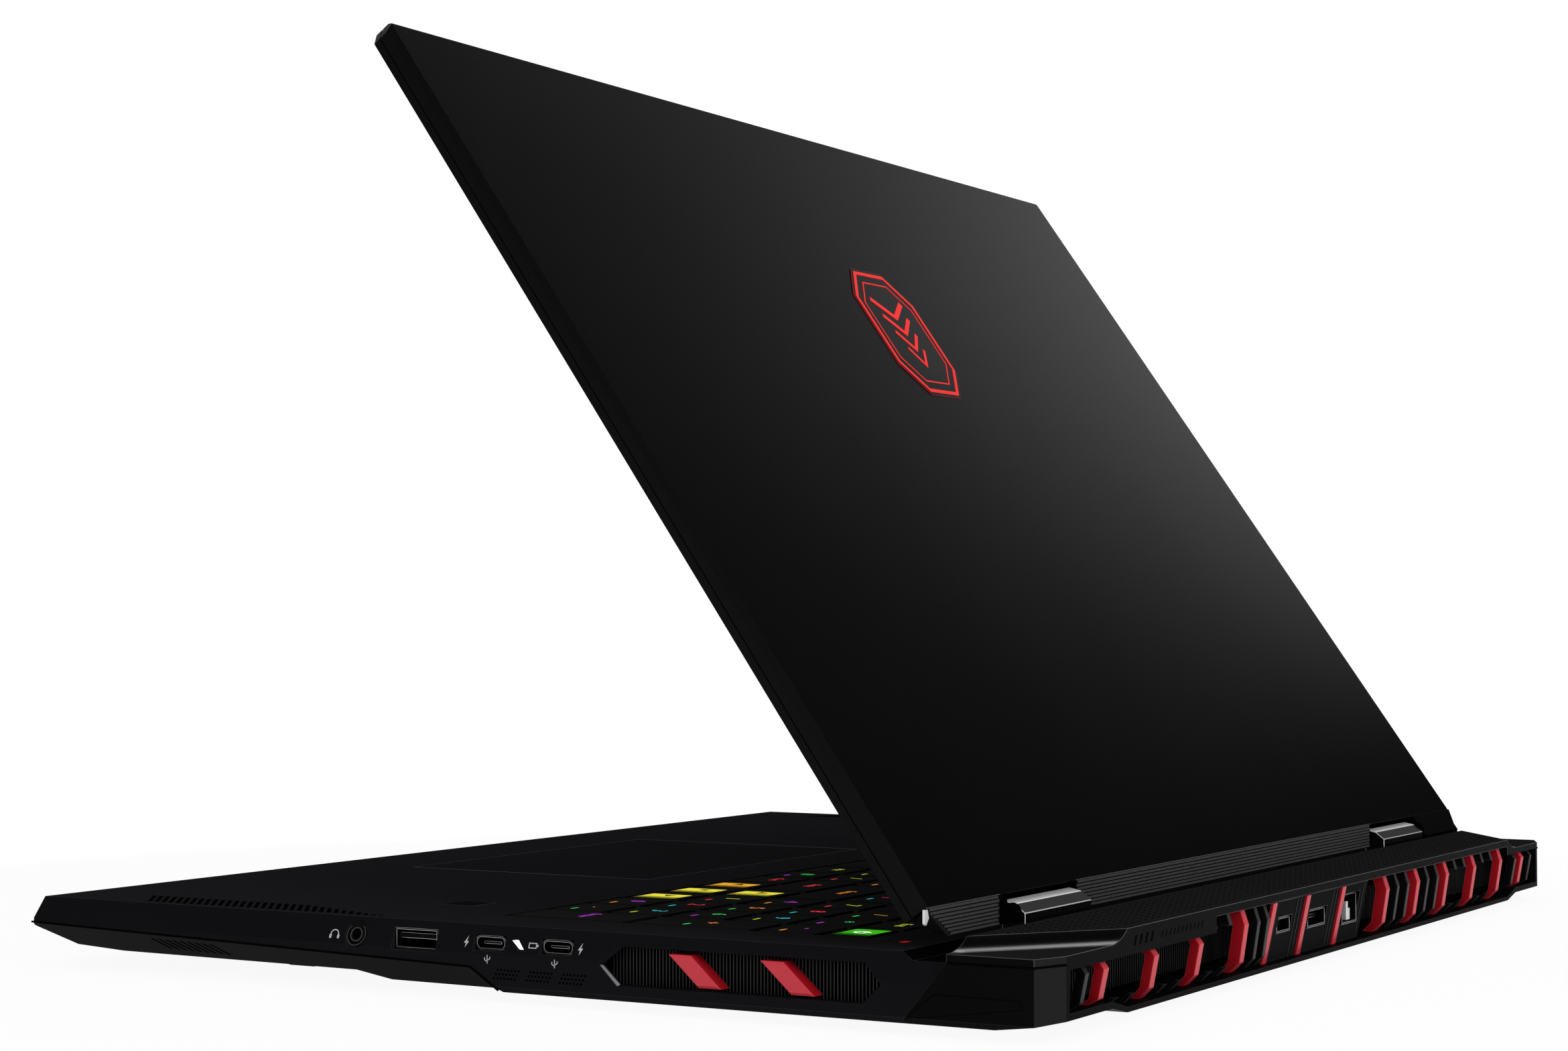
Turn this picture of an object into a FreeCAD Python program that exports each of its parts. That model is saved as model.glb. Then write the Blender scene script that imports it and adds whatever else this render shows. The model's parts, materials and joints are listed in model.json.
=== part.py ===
"""Laptop computer of the 18 inch class with its lid open.

Millimetres. +X is the user's right, +Y the rear, +Z up. The origin lies on the table
under the middle of the footprint.
"""
import FreeCAD, Part
import math
import os

os.makedirs("parts", exist_ok=True)
Vec = FreeCAD.Vector

# Base: overall sizes
BASE_WIDTH = 404.0
BASE_DEPTH = 307.5
FOOT_HEIGHT = 2.6
BODY_HEIGHT = 16.5
FRONT_WALL_HEIGHT = 6.9
FRONT_BELLY_LIFT = 2.2
TROUGH_DEPTH = 2.0
REAR_DECK_RISE = 3.35
WING_RISE = 0.25

# Base: walls and edges
DECK_WALL = 1.5
SIDE_WALL = 2.2
COVER_WALL = 1.5
DECK_INSET = 2.5
FRONT_SLANT = 2.55
FRONT_CORNER = 0.8
REAR_CORNER_X = 9.5
REAR_CORNER_Y = 3.65
WALL_FOOT_BEVEL = 1.5
BELLY_BEVEL_RUN = 1.25
SEAM_FROM_FRONT = 148.25
SEAM_DROP = 3.6
SEAM_SLANT = 9.2
CHIN_FROM_FRONT = 10.0
CHIN_LIFT = 1.0
FRONT_LIP = 1.2
NOSE_FROM_FRONT = 26.0
NECK_LENGTH = 39.95
BELLY_SLOPE_RUN = 9.5
PLATE_GAP = 0.3

# Rear block, measured forward from the back edge
TROUGH_START = 38.25
TROUGH_SLOPE = 3.1
REAR_DECK_DEPTH = 25.75
DIAGONAL_RUN = 12.1
REAR_SEAM_DROP = 1.7
RAISED_HALF_FRONT = 191.4
RAISED_HALF_BACK = 157.5
COVE_WIDTH = 6.0
REAR_FLOOR_WALL = 0.9
WING_STEP = 9.0
WING_UNDER_RUN = 14.2
WING_UNDER_RISE = 1.9
VENT_HALF = 190.8
VENT_SILL = 1.3
WING_SILL = 3.55
VENT_LIP = 2.25
BAND_START = 100.5
BAND_DROP = 6.4
REAR_LIP_DEPTH = 2.0

# Hinge and lid
HINGE_FROM_BACK = 30.95
HINGE_RISE = 5.5
LID_REST_ANGLE = 54.79
LID_WIDTH = 398.8
LID_LENGTH = 272.2
LID_BACK_ABOVE_AXIS = 1.29
LID_EDGE_FROM_AXIS = 4.6
LID_THICKNESS = 6.4
LID_COVER_DEPTH = 4.0
LID_WALL = 1.2
LID_RIM = 1.8
LID_BEVEL = 1.7
LID_CORNER = 3.9
LID_GROOVE = 0.3
BEZEL_WALL = 1.0
BEZEL_RIM = 1.6
TONGUE_GAP = 0.2
TONGUE_WALL = 1.0
TONGUE_RISE = 1.2
LENS_RADIUS = 1.5
LENS_SETBACK = 4.0
WEBCAM_WIDTH = 44.0
WEBCAM_HEIGHT = 2.0
WEBCAM_GAP = 0.3
SCREEN_WIDTH = 387.7
SCREEN_HEIGHT = 242.3
SCREEN_TOP_MARGIN = 7.4
PANEL_OVERLAP = 1.2
PANEL_THICKNESS = 2.4
KNUCKLE_FROM_SIDE = 66.8
KNUCKLE_WIDTH = 39.4
KNUCKLE_GAP = 0.4
TRIM_REACH = 1.45
TRIM_DROP = 2.98
TRIM_HEEL = 0.2
TRIM_HEEL_LIFT = 0.4
TRIM_END_INSET = 0.4
TRIM_END_SLANT = 0.8
FLUSH_REACH = 7.8
KNUCKLE_FRONT = 3.2
KNUCKLE_BACK = 3.0
KNUCKLE_TOP = 2.4
KNUCKLE_FACET = 1.6
HINGE_PIN_RADIUS = 1.2
HINGE_CLEARANCE = 0.05
ARM_EYE_RADIUS = 2.3
ARM_EYE_WIDTH = 4.0
ARM_LEAF = 16.0
ARM_LEAF_THICKNESS = 1.6
ARM_LEAF_ROOT = 0.5
ARM_CLEARANCE = 0.05
PIN_END_GAP = 1.0
KNUCKLE_END_WALL = 5.0
BADGE_WIDTH = 39.0
BADGE_HEIGHT = 49.0
BADGE_FROM_EDGE = 188.5
BADGE_THICKNESS = 0.3
BADGE_NECK = 0.55

# Keyboard and pointing pieces
KEYBOARD_MARGIN = 22.925
KEY_ROW = 18.6
KEY_GAP = 2.7
FUNCTION_ROW = 14.6
KEYBOARD_FROM_BACK = 165.25
KEY_HEIGHT = 2.0
KEY_PROUD = 0.05
KEY_TRAVEL = 1.5
KEY_FLOOR_CLEARANCE = 0.3
KEY_STEM_RADIUS = 2.0
KEY_STEM_CLEARANCE = 0.3
KEY_PLATE = 0.9
KEY_WELL_MARGIN = 0.6
KEY_RIM = 3.0
TOUCHPAD_WIDTH = 128.0
TOUCHPAD_TO_KEYS = 22.25
TOUCHPAD_X = 10.4
TOUCHPAD_FROM_FRONT = 35.0
TOUCHPAD_PLATE = 1.0
TOUCHPAD_CLEARANCE = 0.35
TOUCHPAD_SUNK = 0.05
BRACKET_MARGIN = 5.0
BRACKET_THICKNESS = 1.0
SENSOR_SIZE = 11.0
SENSOR_DEPTH = 0.8
SENSOR_FROM_SIDE = 43.7
SENSOR_FROM_FRONT = 116.2

# Sockets, side vents and slots
PORT_CLEARANCE = 0.15
SOCKET_WALL = 0.5
SOCKET_INSET = 1.6
SOCKET_SUNK = 0.2
TONGUE_MARGIN = 2.0
USB_A_WIDTH = 13.5
USB_A_HEIGHT = 5.4
USB_C_WIDTH = 9.3
USB_C_HEIGHT = 3.7
JACK_COLLAR_RADIUS = 3.35
JACK_BORE_RADIUS = 1.8
SOCKET_DEPTH = 14.0
HDMI_WIDTH = 14.2
HDMI_HEIGHT = 4.9
POWER_WIDTH = 10.3
POWER_HEIGHT = 4.1
LAN_WIDTH = 12.6
LAN_HEIGHT = 8.7
LIGHT_DROP = 3.4
LIGHT_HEIGHT = 2.1
LIGHT_WIDTH = 1.5
LIGHT_LEAN = 2.2
LIGHT_INSET = 0.9
SOCKET_FROM_BACK = 17.5
CARD_SLOT_WIDTH = 24.8
CARD_SLOT_HEIGHT = 2.7
VENT_LENGTH = 77.7
VENT_HEIGHT = 9.7
VENT_TIP = 5.0
VENT_FROM_BACK = 42.5
VENT_DROP = 7.8
RED_BAR_WIDTH = 7.7
RED_BAR_LEAN = 8.7
RED_BAR_PITCH = 25.6
RED_BAR_START = 17.2
RED_BAR_MARGIN = 1.2
RED_BAR_INSET = 0.3
RED_BAR_SLANT = 0.9
SPEAKER_SLOTS = 30
SPEAKER_SLOT_PITCH = 2.4
SPEAKER_SLOT_WIDTH = 1.1
SPEAKER_SLOT_LENGTH = 11.0
SPEAKER_SLOT_LEAN = 0.35
SPEAKER_SLOT_TAPER = 0.9
SPEAKER_TAPERED = 8
SPEAKER_SLOT_EDGE = 0.6
SPEAKER_FROM_BACK = 266.0

# Inner pieces
BOARD_THICKNESS = 1.4
BOARD_BELOW_DECK = 7.4
BOARD_FROM_BACK = 43.0
BOARD_WAIST_FROM_BACK = 160.0
BOARD_WING_FROM_BACK = 222.0
BOARD_WING = 48.0
BOARD_WING_CUT = 14.0
BOARD_WALL_GAP = 2.2
BOARD_FAN_GAP = 4.0
BOARD_SHELF_GAP = 1.0
BOARD_HOLE_GAP = 0.4
POST_SPREAD = 79.0
POST_FROM_SEAM = 6.0
POST_FROM_BACK = 60.0
SOCKET_BLOCK_GAP = 0.6
JACK_BLOCK = 7.2
JACK_BLOCK_RISE = 2.9
CARD_SLOT_DEPTH = 22.0
TONGUE = 0.7
BATTERY_WIDTH = 248.0
BATTERY_FROM_FRONT = 45.0
BATTERY_CELLS = 4
BATTERY_FRAME = 1.0
BATTERY_HEIGHT = 8.0
BATTERY_MARGIN = 2.0
MEMORY_LENGTH = 70.0
MEMORY_WIDTH = 26.0
MEMORY_HEIGHT = 3.6
MEMORY_GAP = 8.0
MEMORY_FROM_BACK = 158.0
DRIVE_FROM_FAN = 70.0
DRIVE_WIDTH = 22.0
DRIVE_LENGTH = 72.0
DRIVE_HEIGHT = 3.0
DRIVE_FROM_BACK = 128.0
RADIO_WIDTH = 22.0
RADIO_LENGTH = 18.0
RADIO_HEIGHT = 2.2
RADIO_GAP = 10.0
SPEAKER_FROM_FRONT = 42.0
SPEAKER_WIDTH = 39.5
SPEAKER_FROM_SIDE = 18.5
SPEAKER_BOARD_GAP = 2.0
SPEAKER_TOP_GAP = 0.8
SPREADER_WIDTH = 92.0
SPREADER_GAP = 8.0
SPREADER_FROM_BACK = 80.0
SPREADER_DEPTH = 50.0
PIPE_START = 14.0
PIPE_GAP = 4.0
PIPE_LANE_GAP = 0.5
PIPE_BEND = 6.0
PIPE_SHORTER = 20.0
FAN_SIZE = 84.0
FAN_HEIGHT = 8.0
FAN_WALL = 0.8
FAN_INLET_RADIUS = 26.0
FAN_ROTOR_RADIUS = 37.0
FAN_HUB_RADIUS = 14.0
FAN_POST_RADIUS = 2.0
FAN_RUN_CLEARANCE = 0.05
FAN_BLADES = 23
FAN_FROM_SIDE = 68.0
FAN_FROM_BACK = 94.0
FAN_FLOOR_GAP = 0.3
FAN_END_GAP = 0.4
FAN_BLADE = 0.8
FAN_BLADE_TURN = 18.0
FAN_SPOKE = 4.0
INLET_PITCH = 4.4
INLET_SLOT = 2.2
PIPE_WIDTH = 8.0
PIPE_HEIGHT = 2.4
SPREADER_HEIGHT = 2.0
RADIATOR_PITCH = 1.8
RADIATOR_FIN = 0.5
RADIATOR_DEPTH = 11.0
RADIATOR_SPINE = 1.0
RADIATOR_FROM_BACK = 22.5
RADIATOR_GAP = 0.3
RADIATOR_END_GAP = 3.0
SIDE_RADIATOR_HEIGHT = 12.3
FIN_THICKNESS = 3.0
BLACK_FIN_THICKNESS = 2.0
RED_BAR_HEIGHT = 0.8
FIN_DEPTH = 2.6
DEEP_FIN_DEPTH = 3.4
HOOK_DEPTH = 1.4
FIN_TOP_RECESS = 1.6
FIN_CORNER_RECESS = 0.35
FIN_KNEE_RECESS = 1.9
FIN_FOOT_RECESS = 4.6
FIN_KNEE_HEIGHT = 2.7
WING_KNEE_HEIGHT = 1.5
FIN_PITCH = 28.8
FIN_TOP_GAP = 0.3
FIN_HEAD = 3.85
SHORT_FIN_HEAD = 1.65
SCREW_RADIUS = 1.0
SCREW_CLEARANCE = 0.05
SCREW_HEAD_RADIUS = 2.4
SCREW_HEAD = 0.6
BOSS_RADIUS = 3.0
SCREW_LENGTH = 7.0
SCREW_FROM_SIDE = 22.0
SCREW_FROM_FRONT = 36.5
SCREW_FROM_PAD = 13.6
MIDDLE_SCREW_FROM_SIDE = 14.0
MIDDLE_SCREW_FROM_BACK = 230.0
REAR_SCREW_X = 84.0
REAR_SCREW_FROM_BACK = 47.5
SCREW_PILOT = 6.5
SCREW_HOLE_CLEARANCE = 0.15
FOOT_WIDTH = 9.0
FOOT_LENGTH = 70.0
FOOT_FROM_SIDE = 72.0
FOOT_FROM_FRONT = 60.0
REAR_FOOT_FROM_SIDE = 40.0
REAR_FOOT_SETBACK = 26.0

# Levels and lines worked out from the sizes above
HALF = BASE_WIDTH / 2
Y_FRONT = -BASE_DEPTH / 2
Y_BACK = BASE_DEPTH / 2
Z_BELLY = FOOT_HEIGHT
Z_DECK = Z_BELLY + BODY_HEIGHT
Z_LIP = Z_DECK - FRONT_WALL_HEIGHT
Z_FRONT_BELLY = Z_BELLY + FRONT_BELLY_LIFT
Z_TROUGH = Z_DECK - TROUGH_DEPTH
Z_REAR = Z_DECK + REAR_DECK_RISE
Z_WING = Z_DECK + WING_RISE
Z_SEAM_STEP = Z_LIP - SEAM_DROP
Z_REAR_SEAM = Z_DECK - REAR_SEAM_DROP
Z_CEILING = Z_DECK - DECK_WALL
Z_FLOOR = Z_BELLY + COVER_WALL
Z_FRONT_FLOOR = Z_FRONT_BELLY + COVER_WALL
Z_BOARD = Z_DECK - BOARD_BELOW_DECK
Z_BOARD_UNDER = Z_BOARD - BOARD_THICKNESS
Y_SEAM_STEP = Y_FRONT + SEAM_FROM_FRONT
Y_SEAM_LOW = Y_SEAM_STEP + SEAM_SLANT
Y_TROUGH = Y_BACK - TROUGH_START
Y_TROUGH_FOOT = Y_TROUGH + TROUGH_SLOPE
Y_REAR_DECK = Y_BACK - REAR_DECK_DEPTH
Y_BLOCK_LOW = Y_REAR_DECK - DIAGONAL_RUN
Y_BELLY_SLOPE = Y_SEAM_LOW - NECK_LENGTH
Y_BELLY_SLOPE_FRONT = Y_BELLY_SLOPE - BELLY_SLOPE_RUN
Y_HINGE = Y_BACK - HINGE_FROM_BACK
Z_HINGE = Z_DECK + HINGE_RISE
Z_REAR_FLOOR = Z_BELLY + REAR_FLOOR_WALL
Z_WING_BELLY = Z_BELLY + WING_UNDER_RISE
Z_WING_FLOOR = Z_WING_BELLY + REAR_FLOOR_WALL
Z_SILL = Z_BELLY + VENT_SILL
Z_WING_SILL = Z_BELLY + WING_SILL
Z_BAND = Z_REAR - BAND_DROP
Z_VENT_TOP = Z_REAR - VENT_LIP
KEY_COLUMNS = 19
KEYBOARD_X1 = HALF - KEYBOARD_MARGIN
KEYBOARD_X0 = -KEYBOARD_X1
KEY_PITCH = 2 * KEYBOARD_X1 / KEY_COLUMNS
KEYBOARD_Y0 = Y_BACK - KEYBOARD_FROM_BACK
KEYBOARD_Y1 = KEYBOARD_Y0 + 5 * KEY_ROW + FUNCTION_ROW
TOUCHPAD_Y0 = Y_FRONT + TOUCHPAD_FROM_FRONT
TOUCHPAD_DEPTH = KEYBOARD_Y0 - TOUCHPAD_TO_KEYS - TOUCHPAD_Y0
TOUCHPAD_Y = TOUCHPAD_Y0 + TOUCHPAD_DEPTH / 2
SENSOR_X = HALF - SENSOR_FROM_SIDE
SENSOR_Y = Y_FRONT + SENSOR_FROM_FRONT
Z_KEY_TOP = Z_DECK + KEY_PROUD
Z_KEY_UNDER = Z_KEY_TOP - KEY_HEIGHT
Z_TRAY = Z_KEY_UNDER - KEY_TRAVEL - KEY_FLOOR_CLEARANCE
FAN_X = HALF - FAN_FROM_SIDE
FAN_Y = Y_BACK - FAN_FROM_BACK
Z_FAN = Z_FLOOR + FAN_FLOOR_GAP
Z_FAN_TOP = Z_FAN + FAN_HEIGHT
Z_PIPE = Z_BOARD_UNDER - SPREADER_HEIGHT - PIPE_HEIGHT
Y_RADIATOR = Y_BACK - RADIATOR_FROM_BACK
SIDE_VENT_Z = Z_DECK - VENT_DROP
SIDE_VENT_Y1 = Y_BACK - VENT_FROM_BACK
SIDE_VENT_Y0 = SIDE_VENT_Y1 - VENT_LENGTH
X_SOCKET = HALF - SOCKET_INSET
X_SIDE_GRILLE = HALF - SIDE_WALL - DECK_INSET
X_BLOCK = X_SIDE_GRILLE - SOCKET_BLOCK_GAP
X_WALL_IN = X_SIDE_GRILLE - SIDE_WALL
CUT = 1.0


def polygon_face(points):
    """Flat face bounded by straight lines through the points."""
    return Part.Face(Part.makePolygon(points + [points[0]]))


def prism_x(outline, x0, x1):
    """Outline of (y, z) points carried along X."""
    face = polygon_face([Vec(x0, y, z) for y, z in outline])
    return face.extrude(Vec(x1 - x0, 0, 0))


def prism_y(outline, y0, y1, drop=0.0):
    """Outline of (x, z) points carried along Y, sinking by drop on the way."""
    face = polygon_face([Vec(x, y0, z) for x, z in outline])
    return face.extrude(Vec(0, y1 - y0, -drop))


def prism_z(outline, z0, z1):
    """Outline of (x, y) points carried along Z."""
    face = polygon_face([Vec(x, y, z0) for x, y in outline])
    return face.extrude(Vec(0, 0, z1 - z0))


def box(x0, x1, y0, y1, z0, z1):
    """Block between two corners."""
    return Part.makeBox(x1 - x0, y1 - y0, z1 - z0, Vec(x0, y0, z0))


def centred_box(x, y, z, dx, dy, dz):
    """Block about a middle point."""
    return box(x - dx / 2, x + dx / 2, y - dy / 2, y + dy / 2, z - dz / 2, z + dz / 2)


def rod_x(x0, x1, y, z, radius):
    """Cylinder along X."""
    return Part.makeCylinder(radius, x1 - x0, Vec(x0, y, z), Vec(1, 0, 0))


def rod_z(x, y, z0, z1, radius):
    """Cylinder along Z."""
    return Part.makeCylinder(radius, z1 - z0, Vec(x, y, z0), Vec(0, 0, 1))


def symmetric(right_side):
    """Closed outline from its right-hand points, mirrored in X."""
    return right_side + [(-x, v) for x, v in reversed(right_side)]


def mirrored(shape):
    """The same piece on the other side of X = 0."""
    return shape.mirror(Vec(0, 0, 0), Vec(1, 0, 0))


def group(shapes):
    """Separate solids kept together in one node."""
    return Part.makeCompound(shapes)


def save(name, shape):
    """Write one node."""
    shape.exportStep("parts/" + name + ".step")


def plan_outline(inset=0.0):
    """Footprint seen from above with its cut corners."""
    side = HALF - inset
    return symmetric([
        (side - FRONT_CORNER, Y_FRONT + inset),
        (side, Y_FRONT + inset + FRONT_CORNER),
        (side, Y_BACK - inset - REAR_CORNER_Y),
        (side - REAR_CORNER_X, Y_BACK - inset),
    ])


def from_back(distance):
    """Y of a point measured forward from the back edge."""
    return Y_BACK - distance


# Socket places on the side walls, measured from the back edge and down from the deck
JACK_Y = from_back(195.75)
USB_A_Y = from_back(177.0)
USB_C_YS = (from_back(153.95), from_back(133.65))
LIGHT_Y = from_back(145.05)
Z_PORTS = Z_DECK - 4.45
Z_USB_A = Z_BOARD + USB_A_HEIGHT / 2
LEFT_USB_YS = (from_back(178.0), from_back(156.0))
CARD_Y = from_back(206.0)

# Socket places on the rear panel
POWER_X = 45.6
HDMI_X = 19.3
LAN_X = -8.1
Z_POWER = Z_DECK - 5.95
Z_HDMI = Z_DECK - 6.35
Z_LAN = Z_DECK - 6.15
PANEL_X0 = -20.0
PANEL_X1 = 59.0
PANEL_THICK = 2.2
GROOVE_DEPTH = 0.5
GROOVE_WIDTH = 0.8
GROOVE_XS = (-17.0, 6.4, 9.0, 28.4, 35.4, 38.2, 53.6)
PANEL_TOP_RECESS = 0.95
PANEL_FOOT_RECESS = 4.43
Z_PANEL_TOP = Z_VENT_TOP - FIN_TOP_GAP
Y_SOCKET_BACK = from_back(SOCKET_FROM_BACK)

SCREWS = [(sx * x, y) for sx in (-1, 1) for x, y in (
    (HALF - SCREW_FROM_SIDE, Y_FRONT + SCREW_FROM_FRONT),
    (TOUCHPAD_X + TOUCHPAD_WIDTH / 2 + SCREW_FROM_PAD, Y_FRONT + SCREW_FROM_FRONT),
    (HALF - MIDDLE_SCREW_FROM_SIDE, from_back(MIDDLE_SCREW_FROM_BACK)),
    (REAR_SCREW_X, from_back(REAR_SCREW_FROM_BACK)),
)]


def side_vent_outline(grow=0.0):
    """Long hexagon of the side vent in (y, z)."""
    half = VENT_HEIGHT / 2 + grow
    return [
        (SIDE_VENT_Y0 - grow, SIDE_VENT_Z),
        (SIDE_VENT_Y0 + VENT_TIP - grow / 2, SIDE_VENT_Z + half),
        (SIDE_VENT_Y1 - VENT_TIP + grow / 2, SIDE_VENT_Z + half),
        (SIDE_VENT_Y1 + grow, SIDE_VENT_Z),
        (SIDE_VENT_Y1 - VENT_TIP + grow / 2, SIDE_VENT_Z - half),
        (SIDE_VENT_Y0 + VENT_TIP - grow / 2, SIDE_VENT_Z - half),
    ]


def speaker_slots():
    """Row of slanted slots along one edge of the deck."""
    x1 = X_SIDE_GRILLE - SPEAKER_SLOT_EDGE
    wide = SPEAKER_SLOT_WIDTH
    slots = []
    for i in range(SPEAKER_SLOTS):
        taper = max(0, i - SPEAKER_SLOTS + SPEAKER_TAPERED) * SPEAKER_SLOT_TAPER
        x0 = x1 - SPEAKER_SLOT_LENGTH + taper
        y = from_back(SPEAKER_FROM_BACK) + i * SPEAKER_SLOT_PITCH
        lean = (x1 - x0) * SPEAKER_SLOT_LEAN
        slot = [(x0, y + lean), (x1, y), (x1, y + wide), (x0, y + lean + wide)]
        slots.append(prism_z(slot, Z_CEILING - CUT, Z_DECK + CUT))
    return slots


def socket_cut_y(y, z, width, height):
    """Cut through the right wall for a socket that faces +X."""
    wide = width + 2 * PORT_CLEARANCE
    tall = height + 2 * PORT_CLEARANCE
    return box(X_WALL_IN, HALF + CUT, y - wide / 2, y + wide / 2, z - tall / 2, z + tall / 2)


def cover_floor(y):
    """Inner face of the bottom cover, higher in front of its slope."""
    return Z_FRONT_FLOOR if y < Y_BELLY_SLOPE_FRONT else Z_FLOOR


def top_case():
    """Deck, front wall and side walls in one shell."""
    profile = [
        (Y_FRONT + FRONT_SLANT, Z_DECK), (Y_TROUGH, Z_DECK), (Y_TROUGH_FOOT, Z_TROUGH),
        (Y_REAR_DECK, Z_TROUGH), (Y_BLOCK_LOW, Z_BELLY), (Y_SEAM_LOW, Z_BELLY),
        (Y_SEAM_STEP, Z_SEAM_STEP), (Y_FRONT, Z_LIP),
    ]
    section = symmetric([
        (HALF - DECK_INSET, Z_DECK), (HALF, Z_LIP), (HALF, Z_BELLY + WALL_FOOT_BEVEL),
        (HALF - WALL_FOOT_BEVEL, Z_BELLY),
    ])
    shell = prism_x(profile, -HALF, HALF)
    shell = shell.common(prism_y(section, Y_FRONT, Y_BACK))
    shell = shell.common(prism_z(plan_outline(), 0, Z_REAR))

    under_trough = Z_TROUGH - DECK_WALL
    room_profile = [
        (Y_FRONT + FRONT_SLANT + SIDE_WALL, Z_CEILING), (Y_TROUGH - DECK_WALL, Z_CEILING),
        (Y_TROUGH_FOOT - DECK_WALL, under_trough), (Y_BACK, under_trough), (Y_BACK, 0),
        (Y_FRONT + SIDE_WALL, 0), (Y_FRONT + SIDE_WALL, Z_LIP),
    ]
    room_section = symmetric([
        (HALF - DECK_INSET - SIDE_WALL, Z_CEILING), (HALF - SIDE_WALL, Z_LIP), (HALF - SIDE_WALL, 0),
    ])
    room = prism_x(room_profile, -HALF, HALF).common(prism_y(room_section, Y_FRONT, Y_BACK))
    room = room.common(prism_z(plan_outline(SIDE_WALL), 0, Z_REAR))
    shell = shell.cut(room)

    bosses = []
    pilots = []
    for x, y in SCREWS:
        foot = cover_floor(y)
        bosses.append(rod_z(x, y, foot, Z_CEILING, BOSS_RADIUS))
        pilots.append(rod_z(x, y, foot - CUT, foot + SCREW_PILOT, SCREW_RADIUS + SCREW_CLEARANCE))
    shell = shell.fuse(bosses).cut(pilots)

    cuts = [
        box(KEYBOARD_X0 - KEY_WELL_MARGIN, KEYBOARD_X1 + KEY_WELL_MARGIN, KEYBOARD_Y0 - KEY_WELL_MARGIN,
            KEYBOARD_Y1 + KEY_WELL_MARGIN, Z_CEILING - CUT, Z_DECK + CUT),
        centred_box(TOUCHPAD_X, TOUCHPAD_Y, Z_DECK, TOUCHPAD_WIDTH + 2 * TOUCHPAD_CLEARANCE,
                    TOUCHPAD_DEPTH + 2 * TOUCHPAD_CLEARANCE, 4 * DECK_WALL),
        centred_box(SENSOR_X, SENSOR_Y, Z_DECK, SENSOR_SIZE, SENSOR_SIZE, 2 * SENSOR_DEPTH),
        rod_x(X_WALL_IN, HALF + CUT, JACK_Y, Z_PORTS, JACK_COLLAR_RADIUS + PORT_CLEARANCE),
        socket_cut_y(USB_A_Y, Z_USB_A, USB_A_WIDTH, USB_A_HEIGHT),
        prism_x(light_outline(PORT_CLEARANCE), X_WALL_IN, HALF + CUT),
    ]
    cuts += [socket_cut_y(y, Z_PORTS, USB_C_WIDTH, USB_C_HEIGHT) for y in USB_C_YS]
    cuts += [mirrored(socket_cut_y(y, Z_USB_A, USB_A_WIDTH, USB_A_HEIGHT)) for y in LEFT_USB_YS]
    cuts.append(mirrored(socket_cut_y(CARD_Y, Z_PORTS, CARD_SLOT_WIDTH, CARD_SLOT_HEIGHT)))
    vent = prism_x(side_vent_outline(), X_WALL_IN, HALF + CUT)
    cuts += [vent, mirrored(vent)]
    slots = speaker_slots()
    cuts += slots + [mirrored(slot) for slot in slots]
    return shell.cut(cuts)


def light_outline(grow=0.0):
    """Slanted bar of the charge light in (y, z)."""
    top = Z_DECK - LIGHT_DROP + grow
    low = Z_DECK - LIGHT_DROP - LIGHT_HEIGHT - grow
    head = LIGHT_Y - LIGHT_LEAN / 2
    foot = LIGHT_Y + LIGHT_LEAN / 2
    half = LIGHT_WIDTH / 2 + grow
    return [(head - half, top), (head + half, top), (foot + half, low), (foot - half, low)]


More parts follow.
